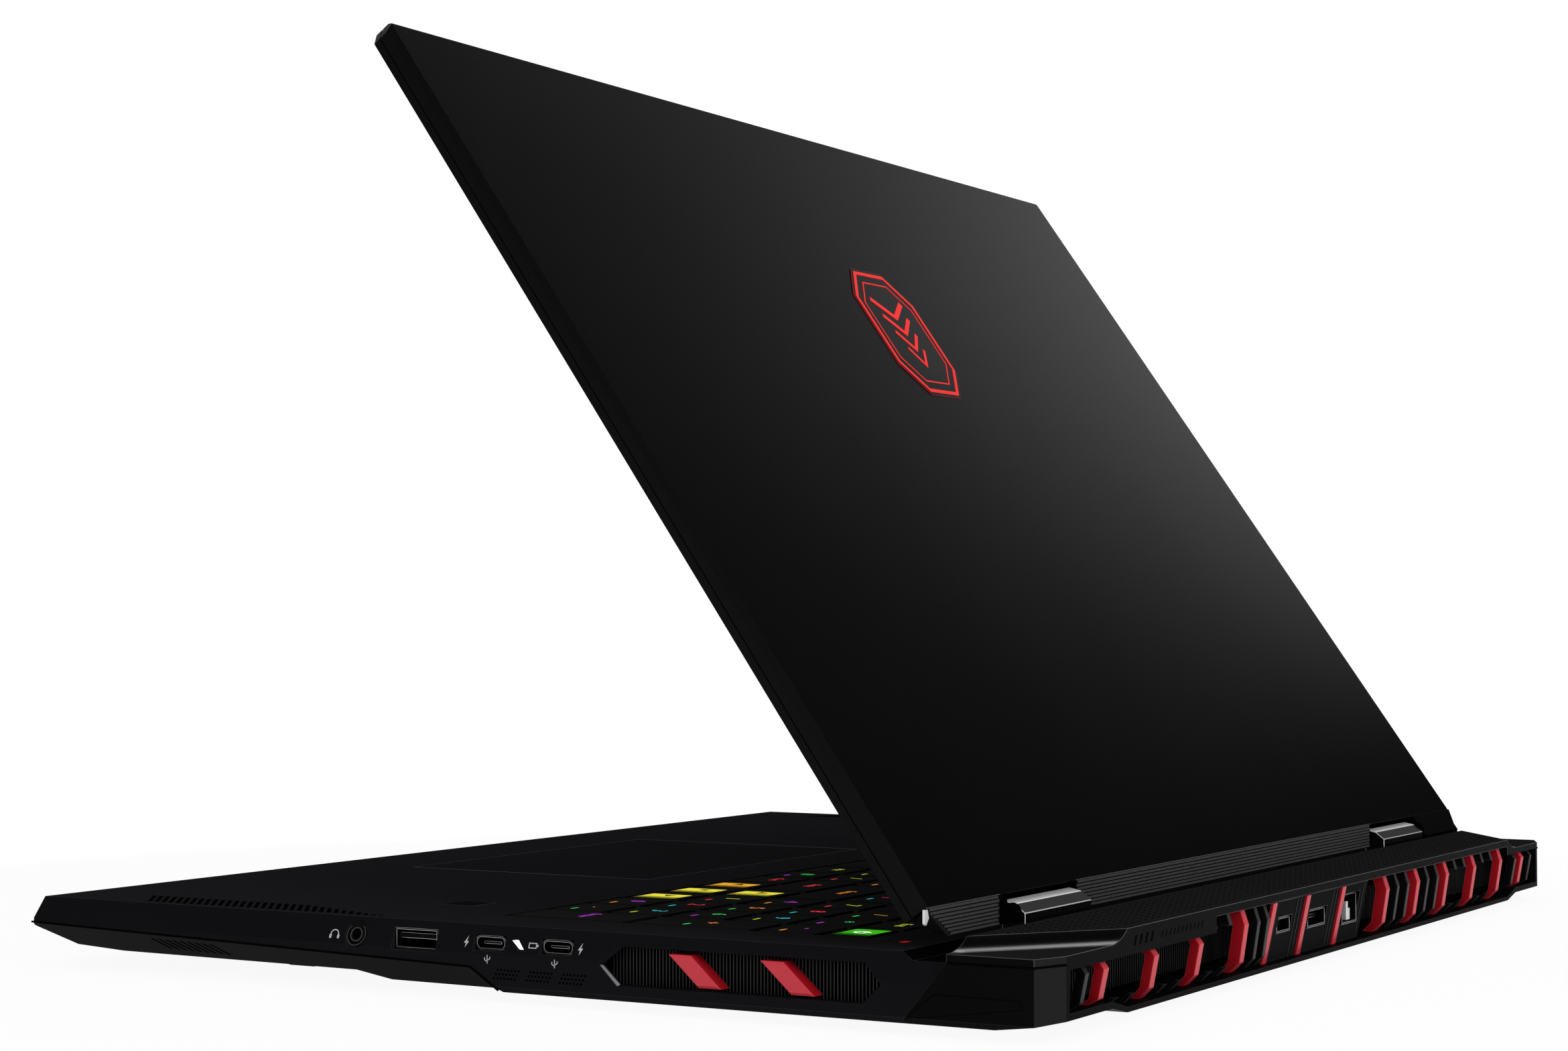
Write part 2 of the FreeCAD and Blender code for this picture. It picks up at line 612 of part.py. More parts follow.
def bottom_cover():
    """Bevelled tray at the front that runs into a flat plate between the side walls."""
    fall = SEAM_DROP / SEAM_FROM_FRONT * (Y_SEAM_LOW - Y_FRONT)
    depth = Z_LIP - Z_BELLY + CUT
    run = BELLY_BEVEL_RUN * depth
    hull = symmetric([(HALF, Z_LIP), (HALF - run, Z_LIP - depth)])
    y_slope = Y_BELLY_SLOPE
    y_slope_front = Y_BELLY_SLOPE_FRONT
    y_nose = Y_FRONT + NOSE_FROM_FRONT
    y_chin = Y_FRONT + CHIN_FROM_FRONT
    z_chin = Z_FRONT_BELLY + CHIN_LIFT
    profile = [
        (Y_FRONT, Z_LIP), (Y_SEAM_STEP, Z_SEAM_STEP), (Y_SEAM_LOW, Z_BELLY), (y_slope, Z_BELLY),
        (y_slope_front, Z_FRONT_BELLY), (y_nose, Z_FRONT_BELLY), (y_chin, z_chin),
        (Y_FRONT, Z_LIP - FRONT_LIP),
    ]
    tray = prism_y(hull, Y_FRONT, Y_SEAM_LOW, fall).common(prism_x(profile, -HALF, HALF))
    tray = tray.common(prism_z(plan_outline(), 0, Z_REAR))

    wall = 2 * COVER_WALL
    room = symmetric([(HALF - wall, Z_LIP), (HALF - wall - run, Z_LIP - depth)])
    room_profile = [
        (Y_FRONT + wall, Z_DECK), (Y_BACK, Z_DECK), (Y_BACK, Z_FLOOR), (y_slope, Z_FLOOR),
        (y_slope_front, Z_FRONT_FLOOR), (y_nose, Z_FRONT_FLOOR), (y_chin, z_chin + COVER_WALL),
        (Y_FRONT + wall, Z_LIP),
    ]
    inside = prism_y(room, Y_FRONT, Y_SEAM_LOW, fall).common(prism_x(room_profile, -HALF, HALF))
    tray = tray.cut(inside)

    plate_half = HALF - SIDE_WALL - PLATE_GAP
    plate_end = Y_BLOCK_LOW - PLATE_GAP
    neck_half = HALF - run
    neck = box(-neck_half, neck_half, y_slope, Y_SEAM_LOW, Z_BELLY, Z_FLOOR)
    plate = box(-plate_half, plate_half, Y_SEAM_LOW, plate_end, Z_BELLY, Z_FLOOR)
    slant = [
        (Y_SEAM_STEP, Z_SEAM_STEP), (Y_SEAM_LOW, Z_BELLY), (Y_SEAM_LOW + wall, Z_BELLY),
        (Y_SEAM_STEP + wall, Z_SEAM_STEP),
    ]
    web = prism_x(slant, neck_half, plate_half)
    cover = tray.fuse([neck, plate, web, mirrored(web)])
    posts = [rod_z(x, y, Z_FLOOR, Z_BOARD_UNDER, BOSS_RADIUS) for x, y in board_posts()]
    cover = cover.fuse(posts).removeSplitter()

    holes = [rod_z(x, y, 0, Z_DECK, SCREW_RADIUS + SCREW_HOLE_CLEARANCE) for x, y in SCREWS]
    rows = int(FAN_INLET_RADIUS / INLET_PITCH)
    for i in range(-rows, rows + 1):
        step = i * INLET_PITCH
        length = 2 * math.sqrt(FAN_INLET_RADIUS ** 2 - step ** 2)
        slot = centred_box(FAN_X, FAN_Y + step, Z_BELLY, length, INLET_SLOT, 4 * COVER_WALL)
        holes += [slot, mirrored(slot)]
    return cover.cut(holes)


def board_posts():
    """Places of the posts that carry the main board."""
    ys = (Y_SEAM_LOW + POST_FROM_SEAM, from_back(POST_FROM_BACK))
    return [(x, y) for x in (-POST_SPREAD, 0.0, POST_SPREAD) for y in ys]


def wing_undercut():
    """Rising underside of the right wing, cut away from the rear bumper."""
    inner = RAISED_HALF_BACK
    outer = inner + WING_STEP
    y_end = Y_BACK + WING_UNDER_RUN
    rise = prism_x([(Y_BACK - WING_UNDER_RUN, Z_BELLY), (y_end, Z_BELLY + 2 * WING_UNDER_RISE), (y_end, 0),
                    (Y_BACK - WING_UNDER_RUN, 0)], inner, HALF + 1)
    slant = prism_y([(inner, Z_BELLY), (outer, Z_WING_BELLY), (HALF + 1, Z_WING_BELLY), (HALF + 1, 0),
                     (inner, 0)], 0, y_end)
    return rise.common(slant)


def rear_frame():
    """Rear bumper: side walls, floor and sill round the long vent."""
    inner_step = RAISED_HALF_BACK
    outer_step = inner_step + WING_STEP
    section = symmetric([
        (HALF, Z_REAR_SEAM), (HALF, Z_BELLY + WALL_FOOT_BEVEL), (HALF - WALL_FOOT_BEVEL, Z_BELLY),
    ])
    diagonal = DIAGONAL_RUN * (Z_REAR_SEAM - Z_BELLY) / (Z_TROUGH - Z_BELLY)
    profile = [
        (Y_BLOCK_LOW, Z_BELLY), (Y_BLOCK_LOW + diagonal, Z_REAR_SEAM), (Y_BACK, Z_REAR_SEAM),
        (Y_BACK, Z_BELLY),
    ]
    shell = prism_y(section, 0, Y_BACK).common(prism_x(profile, -HALF, HALF))
    shell = shell.common(prism_z(plan_outline(), 0, Z_REAR))
    shell = shell.cut([wing_undercut(), mirrored(wing_undercut())])
    room = symmetric([
        (HALF - SIDE_WALL, Z_REAR), (HALF - SIDE_WALL, Z_WING_FLOOR), (outer_step, Z_WING_FLOOR),
        (inner_step, Z_REAR_FLOOR),
    ])
    inside = prism_y(room, 0, Y_BACK - REAR_LIP_DEPTH)
    inside = inside.common(prism_z(plan_outline(SIDE_WALL), 0, 2 * Z_REAR))
    mouth = symmetric([
        (VENT_HALF, Z_REAR), (VENT_HALF, Z_WING_SILL), (outer_step, Z_WING_SILL), (inner_step, Z_SILL),
    ])
    return shell.cut([inside, prism_y(mouth, Y_BACK - SOCKET_DEPTH, Y_BACK + 1)])


def raised_outline(inset=0.0):
    """Raised part of the rear deck seen from above."""
    return symmetric([
        (RAISED_HALF_FRONT - 2 * inset, Y_REAR_DECK + inset),
        (RAISED_HALF_BACK - 2 * inset, Y_BACK - inset),
    ])


def cove():
    """Hollow curve between the raised deck and the right wing."""
    start = Vec(RAISED_HALF_FRONT, Y_REAR_DECK, Z_WING)
    along = Vec(RAISED_HALF_BACK - RAISED_HALF_FRONT, REAR_DECK_DEPTH, 0)
    across = Vec(along.y, -along.x, 0)
    across.normalize()
    up = Vec(0, 0, 1)
    rise = Z_REAR - Z_WING
    radius = (COVE_WIDTH ** 2 + rise ** 2) / (2 * rise)
    middle = math.asin(COVE_WIDTH / radius) / 2
    foot = start + across * COVE_WIDTH
    top = start + up * rise
    bend = foot - across * (radius * math.sin(middle)) + up * (radius * (1 - math.cos(middle)))
    edges = [
        Part.LineSegment(start, foot).toShape(), Part.Arc(foot, bend, top).toShape(),
        Part.LineSegment(top, start).toShape(),
    ]
    face = Part.Face(Part.Wire(edges))
    direction = Vec(along)
    direction.normalize()
    overrun = REAR_DECK_DEPTH
    face.translate(direction * -overrun)
    return face.extrude(direction * (along.Length + 2 * overrun))


def rear_deck_cover():
    """Raised rear deck, its wings and the lip over the rear vent."""
    front = box(-HALF, HALF, Y_REAR_DECK, Y_BACK, Z_REAR_SEAM, Z_REAR)
    wings = prism_z(plan_outline(), Z_REAR_SEAM, Z_WING)
    solid = wings.fuse([prism_z(raised_outline(), Z_REAR_SEAM, Z_REAR), cove(), mirrored(cove())])
    solid = solid.common(prism_z(plan_outline(), Z_REAR_SEAM, Z_REAR)).common(front)
    hollow = prism_z(raised_outline(DECK_WALL), Z_REAR_SEAM, Z_REAR - DECK_WALL)
    y_lip = Y_BACK - REAR_LIP_DEPTH
    mouth = box(-RAISED_HALF_BACK, BAND_START, y_lip - SIDE_WALL, Y_BACK + 1, Z_REAR_SEAM - 1, Z_VENT_TOP)
    solid = solid.cut([hollow, mouth])
    band = box(BAND_START, VENT_HALF, y_lip, Y_BACK, Z_BAND, Z_REAR_SEAM)
    return solid.fuse(band).removeSplitter()


def vent_floor(x):
    """Floor under a rear fin, which climbs from the middle to the wings."""
    share = (abs(x) + FIN_THICKNESS / 2 - RAISED_HALF_BACK) / WING_STEP
    return Z_REAR_FLOOR + min(1.0, max(0.0, share)) * (Z_WING_FLOOR - Z_REAR_FLOOR)


def fin(x, thickness, outer, depth):
    """Upright plate behind a line of (recess, z) points, carried back by a depth."""
    front = [(Y_BACK - recess, z) for recess, z in outer]
    back = [(y - depth, z) for y, z in reversed(front)]
    return prism_x(front + back, x - thickness / 2, x + thickness / 2)


def fin_foot(x):
    """Knee and foot of a fin as (recess, z) points."""
    floor = vent_floor(x)
    knee = max(Z_REAR_FLOOR + FIN_KNEE_HEIGHT, floor + WING_KNEE_HEIGHT)
    return [(FIN_KNEE_RECESS, knee), (FIN_FOOT_RECESS, floor)]


def chevron(x, thickness, z_top, z_corner, depth=FIN_DEPTH):
    """Bent fin that stands on the rear frame's floor."""
    head = [(FIN_TOP_RECESS, z_top), (FIN_CORNER_RECESS, z_corner)]
    return fin(x, thickness, head + fin_foot(x), depth)


def hook(x):
    """Foot of an open black fin."""
    return fin(x, BLACK_FIN_THICKNESS, fin_foot(x), HOOK_DEPTH)


def hanging_stub(x):
    """Head of an open black fin, under the lip of the rear deck."""
    corner_share = 0.8
    recess = FIN_TOP_RECESS + corner_share * (FIN_CORNER_RECESS - FIN_TOP_RECESS)
    z_end = Z_FIN_TOP + corner_share * (Z_FIN_CORNER - Z_FIN_TOP)
    return fin(x, BLACK_FIN_THICKNESS, [(FIN_TOP_RECESS, Z_VENT_TOP), (recess, z_end)], FIN_DEPTH)


def between(a, b):
    """Places of the two black fins between two red ones."""
    return [a + (b - a) / 3, a + 2 * (b - a) / 3]


Z_FIN_TOP = Z_VENT_TOP - FIN_TOP_GAP
Z_FIN_CORNER = Z_FIN_TOP - FIN_HEAD
Z_SHORT_TOP = Z_BAND - FIN_TOP_GAP
Z_WING_TOP = Z_REAR_SEAM - FIN_TOP_GAP
RED_DEEP = [78.5, -36.2]
RED_FULL = [RED_DEEP[1] - i * FIN_PITCH for i in range(1, 5)]
RED_BAND = [109.7, 138.7, 169.0]
RED_WING = [-176.0]
BLACK_FULL = [69.4, 62.4] + between(RED_DEEP[1], RED_FULL[0]) + between(RED_FULL[0], RED_FULL[1])
BLACK_BAND = [180.0]
BLACK_WING = [-168.0, -186.0]
BLACK_OPEN_LEFT = between(RED_FULL[1], RED_FULL[2]) + between(RED_FULL[2], RED_FULL[3])
BLACK_OPEN_RIGHT = between(RED_DEEP[0], RED_BAND[0])
HOOKS_RIGHT = between(RED_BAND[0], RED_BAND[1]) + between(RED_BAND[1], RED_BAND[2])
BAR_XS = [2.4, 31.4, PANEL_X1 - FIN_THICKNESS / 2]


def rear_fins_red():
    """Red chevrons and the straight red bars on the port panel."""
    fins = [chevron(x, FIN_THICKNESS, Z_FIN_TOP, Z_FIN_CORNER, DEEP_FIN_DEPTH) for x in RED_DEEP]
    fins += [chevron(x, FIN_THICKNESS, Z_FIN_TOP, Z_FIN_CORNER) for x in RED_FULL]
    fins += [chevron(x, FIN_THICKNESS, Z_SHORT_TOP, Z_SHORT_TOP - SHORT_FIN_HEAD) for x in RED_BAND]
    fins += [chevron(x, FIN_THICKNESS, Z_WING_TOP, Z_WING_TOP - SHORT_FIN_HEAD) for x in RED_WING]
    outline = panel_outline(RED_BAR_HEIGHT, 0.0)
    fins += [prism_x(outline, x - FIN_THICKNESS / 2, x + FIN_THICKNESS / 2) for x in BAR_XS]
    return group(fins)


def rear_fins_black():
    """Black chevrons, and the heads and hooks of the open ones."""
    thick = BLACK_FIN_THICKNESS
    fins = [chevron(x, thick, Z_FIN_TOP, Z_FIN_CORNER) for x in BLACK_FULL]
    fins += [chevron(x, thick, Z_SHORT_TOP, Z_SHORT_TOP - SHORT_FIN_HEAD) for x in BLACK_BAND]
    fins += [chevron(x, thick, Z_WING_TOP, Z_WING_TOP - SHORT_FIN_HEAD) for x in BLACK_WING]
    fins += [hanging_stub(x) for x in BLACK_OPEN_LEFT + BLACK_OPEN_RIGHT]
    fins += [hook(x) for x in BLACK_OPEN_LEFT + BLACK_OPEN_RIGHT + HOOKS_RIGHT]
    return group(fins)


def panel_outline(front, back):
    """Inclined port panel in (y, z), between two offsets from its outer face."""
    top = Y_BACK - PANEL_TOP_RECESS
    foot = Y_BACK - PANEL_FOOT_RECESS
    return [
        (top + front, Z_PANEL_TOP), (top + back, Z_PANEL_TOP), (foot + back, Z_REAR_FLOOR),
        (foot + front, Z_REAR_FLOOR),
    ]


def rear_sockets():
    """Middle x, z and the size of each socket on the rear panel."""
    return {
        "power_inlet": (POWER_X, Z_POWER, POWER_WIDTH, POWER_HEIGHT),
        "hdmi_socket": (HDMI_X, Z_HDMI, HDMI_WIDTH, HDMI_HEIGHT),
        "ethernet_socket": (LAN_X, Z_LAN, LAN_WIDTH, LAN_HEIGHT),
    }


def rear_port_panel():
    """Inclined panel with its socket windows and upright grooves."""
    panel = prism_x(panel_outline(0.0, -PANEL_THICK), PANEL_X0, PANEL_X1)
    cuts = []
    gap = 2 * PORT_CLEARANCE
    for x, z, width, height in rear_sockets().values():
        cuts.append(centred_box(x, Y_BACK, z, width + gap, 2 * SOCKET_DEPTH, height + gap))
    groove = panel_outline(CUT, -GROOVE_DEPTH)
    for x in GROOVE_XS:
        cuts.append(prism_x(groove, x - GROOVE_WIDTH / 2, x + GROOVE_WIDTH / 2))
    return panel.cut(cuts)


def panel_y(z):
    """Outer face of the port panel at a height."""
    share = (Z_PANEL_TOP - z) / (Z_PANEL_TOP - Z_REAR_FLOOR)
    return Y_BACK - PANEL_TOP_RECESS - share * (PANEL_FOOT_RECESS - PANEL_TOP_RECESS)


def rear_socket(name):
    """Socket shell facing the rear, with its tongue."""
    x, z, width, height = rear_sockets()[name]
    y1 = panel_y(z) - SOCKET_SUNK
    y_room = Y_SOCKET_BACK + 4 * SOCKET_WALL
    half = width / 2
    tall = height / 2
    wall = SOCKET_WALL
    shell = box(x - half, x + half, Y_SOCKET_BACK, y1, z - tall, z + tall)
    room = box(x - half + wall, x + half - wall, y_room, y1 + CUT, z - tall + wall, z + tall - wall)
    shell = shell.cut(room)
    reach = half - TONGUE_MARGIN
    rise = tall - wall - TONGUE if name == "ethernet_socket" else 0.0
    tongue = box(x - reach, x + reach, Y_SOCKET_BACK + wall, y1 - TONGUE_MARGIN, z + rise - TONGUE / 2,
                 z + rise + TONGUE)
    return shell.fuse(tongue)


def usb_a_socket(y):
    """USB-A socket facing +X, standing on the board."""
    x0 = X_SOCKET - SOCKET_DEPTH
    z1 = Z_BOARD + USB_A_HEIGHT
    half = USB_A_WIDTH / 2
    wall = SOCKET_WALL
    shell = box(x0, X_SOCKET, y - half, y + half, Z_BOARD, z1)
    room = box(x0 + wall, X_SOCKET + CUT, y - half + wall, y + half - wall, Z_BOARD + wall, z1 - wall)
    shell = shell.cut(room)
    reach = half - TONGUE_MARGIN / 2
    tongue = box(x0, X_SOCKET - TONGUE_MARGIN / 2, y - reach, y + reach, Z_USB_A, Z_USB_A + 2 * TONGUE)
    return shell.fuse(tongue)


def rounded_x(block, radius):
    """Round the edges of a block that run along X."""
    edges = [edge for edge in block.Edges if abs(edge.tangentAt(edge.FirstParameter).x) > 0.9]
    return block.makeFillet(radius, edges)


def usb_c_socket(y):
    """USB-C socket facing +X on its carrier block."""
    x0 = X_SOCKET - SOCKET_DEPTH + 2 * TONGUE_MARGIN
    half = USB_C_WIDTH / 2
    tall = USB_C_HEIGHT / 2
    wall = SOCKET_WALL
    flat = 0.1
    shell = box(x0, X_SOCKET, y - half, y + half, Z_PORTS - tall, Z_PORTS + tall)
    slot = box(x0 + wall, X_SOCKET + CUT, y - half + wall, y + half - wall, Z_PORTS - tall + wall,
               Z_PORTS + tall - wall)
    shell = rounded_x(shell, tall - flat).cut(rounded_x(slot, tall - wall - flat))
    reach = half - TONGUE_MARGIN
    tongue = box(x0, X_SOCKET - CUT, y - reach, y + reach, Z_PORTS - TONGUE / 2, Z_PORTS + TONGUE / 2)
    carrier = box(x0, X_BLOCK, y - reach, y + reach, Z_BOARD, Z_PORTS - tall + wall / 2)
    return shell.fuse([tongue, carrier])


def audio_jack():
    """Round headset socket in its block."""
    x0 = X_SOCKET - SOCKET_DEPTH
    half = JACK_BLOCK / 2
    block = box(x0, X_BLOCK, JACK_Y - half, JACK_Y + half, Z_BOARD, Z_PORTS + JACK_BLOCK_RISE)
    collar = rod_x(X_BLOCK - CUT, X_SOCKET, JACK_Y, Z_PORTS, JACK_COLLAR_RADIUS)
    bore = rod_x(x0 + CUT, X_SOCKET + CUT, JACK_Y, Z_PORTS, JACK_BORE_RADIUS)
    return block.fuse(collar).cut(bore)


def card_slot():
    """Memory card slot on the left, on its carrier."""
    x0 = X_SOCKET - CARD_SLOT_DEPTH
    half = CARD_SLOT_WIDTH / 2
    tall = CARD_SLOT_HEIGHT / 2
    wall = SOCKET_WALL
    shell = box(x0, X_SOCKET, CARD_Y - half, CARD_Y + half, Z_PORTS - tall, Z_PORTS + tall)
    shell = shell.cut(box(x0 + wall, X_SOCKET + CUT, CARD_Y - half + wall, CARD_Y + half - wall,
                          Z_PORTS - tall + wall, Z_PORTS + tall - wall))
    reach = half - TONGUE_MARGIN
    carrier = box(x0, X_BLOCK, CARD_Y - reach, CARD_Y + reach, Z_BOARD, Z_PORTS - tall)
    return mirrored(shell.fuse(carrier))


def main_board():
    """Main board with its side wings that carry the sockets."""
    half = FAN_X - FAN_SIZE / 2 - BOARD_FAN_GAP
    x_wing = X_SIDE_GRILLE - BOARD_WALL_GAP
    x_root = x_wing - BOARD_WING
    y_front = from_back(BOARD_WING_FROM_BACK)
    y_cut = y_front + BOARD_WING_CUT
    y_shelf = FAN_Y - FAN_SIZE / 2 - BOARD_SHELF_GAP
    y_waist = from_back(BOARD_WAIST_FROM_BACK)
    y_back = from_back(BOARD_FROM_BACK)
    x_tail = PANEL_X1 - PANEL_THICK
    outline = [
        (-x_wing, y_front), (-x_root, y_front), (-x_root, y_waist), (x_root, y_waist), (x_root, y_cut),
        (x_wing, y_cut), (x_wing, y_shelf), (half, y_shelf), (half, y_back), (x_tail, y_back),
        (x_tail, Y_SOCKET_BACK), (PANEL_X0, Y_SOCKET_BACK), (PANEL_X0, y_back), (-half, y_back),
        (-half, y_shelf), (-x_wing, y_shelf),
    ]
    board = prism_z(outline, Z_BOARD_UNDER, Z_BOARD)
    return board.cut([rod_z(x, y, 0, Z_DECK, BOSS_RADIUS + BOARD_HOLE_GAP) for x, y in SCREWS])


def comb(start, end, spine0, spine1, tip):
    """Outline of a row of thin fins joined by a spine."""
    points = [(start, spine0), (start, spine1)]
    count = int((end - start - RADIATOR_FIN) / RADIATOR_PITCH)
    for i in range(count + 1):
        a = start + i * RADIATOR_PITCH
        points += [(a, spine1)] if i else []
        points += [(a, tip), (a + RADIATOR_FIN, tip), (a + RADIATOR_FIN, spine1)]
    points.append((points[-1][0], spine0))
    return points


X_RADIATOR_OUT = VENT_HALF - RADIATOR_END_GAP


def rear_radiators():
    """Finned blocks behind the rear vent."""
    z0 = Z_WING_FLOOR + RADIATOR_GAP
    z1 = Z_TROUGH - DECK_WALL - RADIATOR_GAP
    y0 = Y_RADIATOR
    y1 = y0 + RADIATOR_SPINE
    y2 = y0 + RADIATOR_DEPTH
    right = prism_z(comb(PANEL_X1 + RADIATOR_END_GAP, X_RADIATOR_OUT, y0, y1, y2), z0, z1)
    left = prism_z(comb(-X_RADIATOR_OUT, PANEL_X0 - RADIATOR_END_GAP, y0, y1, y2), z0, z1)
    return group([right, left])


def side_radiators():
    """Finned blocks behind the side vents."""
    x0 = X_SIDE_GRILLE - RADIATOR_DEPTH
    x1 = x0 + RADIATOR_SPINE
    z0 = Z_FLOOR + RADIATOR_GAP
    points = comb(SIDE_VENT_Y0 - RADIATOR_SPINE, SIDE_VENT_Y1 + RADIATOR_SPINE, x0, x1, X_SIDE_GRILLE)
    right = prism_z([(x, y) for y, x in points], z0, z0 + SIDE_RADIATOR_HEIGHT)
    return group([right, mirrored(right)])


def side_vent_bars():
    """Two faceted red bars in each side vent, standing on the radiator fins."""
    bars = []
    z_top = SIDE_VENT_Z + VENT_HEIGHT / 2 - RED_BAR_MARGIN
    z_low = SIDE_VENT_Z - VENT_HEIGHT / 2 + RED_BAR_MARGIN
    x_face = HALF - RED_BAR_INSET
    for i in range(2):
        y = SIDE_VENT_Y0 + RED_BAR_START + i * RED_BAR_PITCH
        y_end = y + RED_BAR_WIDTH + RED_BAR_LEAN
        outline = [(y, z_top), (y + RED_BAR_WIDTH, z_top), (y_end, z_low), (y + RED_BAR_LEAN, z_low)]
        wedge = [
            (X_SIDE_GRILLE, z_low), (x_face, z_low + RED_BAR_MARGIN), (x_face - RED_BAR_SLANT, z_top),
            (X_SIDE_GRILLE, z_top),
        ]
        bar = prism_x(outline, X_SIDE_GRILLE, x_face).common(prism_y(wedge, y - CUT, y_end + CUT))
        bars += [bar, mirrored(bar)]
    return group(bars)


Y_SPREADER = from_back(SPREADER_FROM_BACK + SPREADER_DEPTH)


def heat_spreader():
    """Copper plates under the two processors."""
    right = box(SPREADER_GAP / 2, SPREADER_WIDTH / 2, Y_SPREADER, Y_SPREADER + SPREADER_DEPTH,
                Z_BOARD_UNDER - SPREADER_HEIGHT, Z_BOARD_UNDER)
    return group([right, mirrored(right)])


def heat_pipes():
    """Flat pipes from the processors to the rear radiators."""
    pipes = []
    wide = PIPE_WIDTH
    bend = PIPE_BEND
    y0 = Y_SPREADER + bend
    for i in range(2):
        x = PIPE_START + i * (wide + PIPE_GAP)
        x_far = X_RADIATOR_OUT - bend - i * PIPE_SHORTER
        lane = Y_RADIATOR - i * (wide + PIPE_LANE_GAP)
        outline = [
            (x, y0), (x + wide, y0), (x + wide, lane - wide - bend), (x + wide + bend, lane - wide),
            (x_far, lane - wide), (x_far, lane), (x + bend, lane), (x, lane - bend),
        ]
        pipe = prism_z(outline, Z_PIPE, Z_PIPE + PIPE_HEIGHT)
        pipes += [pipe, mirrored(pipe)]
    return group(pipes)


def fan_housing():
    """Blower housing open to the side and rear radiators."""
    half = FAN_SIZE / 2
    x, y = FAN_X, FAN_Y
    wall = FAN_WALL
    shell = box(x - half, x + half, y - half, y + half, Z_FAN, Z_FAN_TOP)
    room = box(x - half + wall, x + half + CUT, y - half + wall, y + half + CUT, Z_FAN + wall,
               Z_FAN_TOP - wall)
    inlet = rod_z(x, y, Z_FAN_TOP - wall - CUT, Z_FAN_TOP + CUT, FAN_INLET_RADIUS)
    ring = rod_z(x, y, Z_FAN - CUT, Z_FAN + wall, FAN_INLET_RADIUS)
    ring = ring.cut(rod_z(x, y, Z_FAN - CUT, Z_FAN + wall, FAN_HUB_RADIUS))
    spokes = []
    for i in range(3):
        spoke = box(x - FAN_SPOKE / 2, x + FAN_SPOKE / 2, y, y + half, Z_FAN - CUT, Z_FAN + wall)
        spoke.rotate(Vec(x, y, 0), Vec(0, 0, 1), 120.0 * i)
        spokes.append(spoke)
    shell = shell.cut([room, inlet, ring.cut(spokes)])
    return shell.fuse(rod_z(x, y, Z_FAN, Z_FAN_TOP - wall - CUT, FAN_POST_RADIUS))


def fan_rotor(side):
    """Bladed wheel that turns on the post of its housing."""
    x, y = FAN_X, FAN_Y
    z0 = Z_FAN + FAN_WALL + FAN_END_GAP
    z1 = Z_FAN_TOP - FAN_WALL - FAN_END_GAP
    hub = rod_z(x, y, z0, z1, FAN_HUB_RADIUS)
    blades = []
    half = FAN_BLADE / 2
    for i in range(FAN_BLADES):
        blade = box(x + FAN_HUB_RADIUS - half, x + FAN_ROTOR_RADIUS, y - half, y + half, z0 + half, z1 - half)
        blade.rotate(Vec(x + FAN_HUB_RADIUS, y, 0), Vec(0, 0, 1), FAN_BLADE_TURN)
        blade.rotate(Vec(x, y, 0), Vec(0, 0, 1), 360.0 * i / FAN_BLADES)
        blades.append(blade)
    z_bore = Z_FAN_TOP - FAN_WALL - CUT + FAN_END_GAP / 2
    bore = rod_z(x, y, z0 - CUT, z_bore, FAN_POST_RADIUS + FAN_RUN_CLEARANCE)
    rotor = hub.fuse(blades).cut(bore)
    return rotor if side > 0 else mirrored(rotor)


def battery_pack():
    """Row of flat cells on the front floor."""
    half = BATTERY_WIDTH / 2
    y0 = Y_FRONT + BATTERY_FROM_FRONT
    y1 = Y_BELLY_SLOPE_FRONT
    z1 = Z_FRONT_FLOOR + BATTERY_FRAME
    pitch = (BATTERY_WIDTH - BATTERY_MARGIN) / BATTERY_CELLS
    frame = box(-half, half, y0, y1, Z_FRONT_FLOOR, z1)
    cells = []
    for i in range(BATTERY_CELLS):
        x = -half + BATTERY_MARGIN + i * pitch
        cells.append(box(x, x + pitch - BATTERY_MARGIN, y0 + BATTERY_MARGIN, y1 - BATTERY_MARGIN, z1,
                         Z_FRONT_FLOOR + BATTERY_HEIGHT))
    return frame.fuse(cells)


def memory_modules():
    """Two memory modules with their sockets under the board."""
    y0 = from_back(MEMORY_FROM_BACK)
    x0 = MEMORY_GAP / 2
    right = box(x0, x0 + MEMORY_LENGTH, y0, y0 + MEMORY_WIDTH, Z_BOARD_UNDER - MEMORY_HEIGHT, Z_BOARD_UNDER)
    return group([right, mirrored(right)])


def storage_drives():
    """Two drive sticks under the board."""
    y = from_back(DRIVE_FROM_BACK) + DRIVE_LENGTH / 2
    z = Z_BOARD_UNDER - DRIVE_HEIGHT / 2
    right = centred_box(FAN_X - DRIVE_FROM_FAN, y, z, DRIVE_WIDTH, DRIVE_LENGTH, DRIVE_HEIGHT)
    return group([right, mirrored(right)])


def wireless_card():
    """Small radio card under the left wing of the board."""
    x1 = -(MEMORY_GAP / 2 + MEMORY_LENGTH + RADIO_GAP)
    y0 = from_back(MEMORY_FROM_BACK)
    return box(x1 - RADIO_WIDTH, x1, y0, y0 + RADIO_LENGTH, Z_BOARD_UNDER - RADIO_HEIGHT, Z_BOARD_UNDER)


def speakers():
    """Speaker boxes on the front floor."""
    x1 = HALF - SPEAKER_FROM_SIDE
    y0 = Y_FRONT + SPEAKER_FROM_FRONT
    y1 = from_back(BOARD_WING_FROM_BACK) - SPEAKER_BOARD_GAP
    right = box(x1 - SPEAKER_WIDTH, x1, y0, y1, Z_FRONT_FLOOR, Z_CEILING - SPEAKER_TOP_GAP)
    return group([right, mirrored(right)])


def charge_light():
    """Light guide of the charge light in the right wall."""
    return prism_x(light_outline(), X_BLOCK, HALF - LIGHT_INSET)


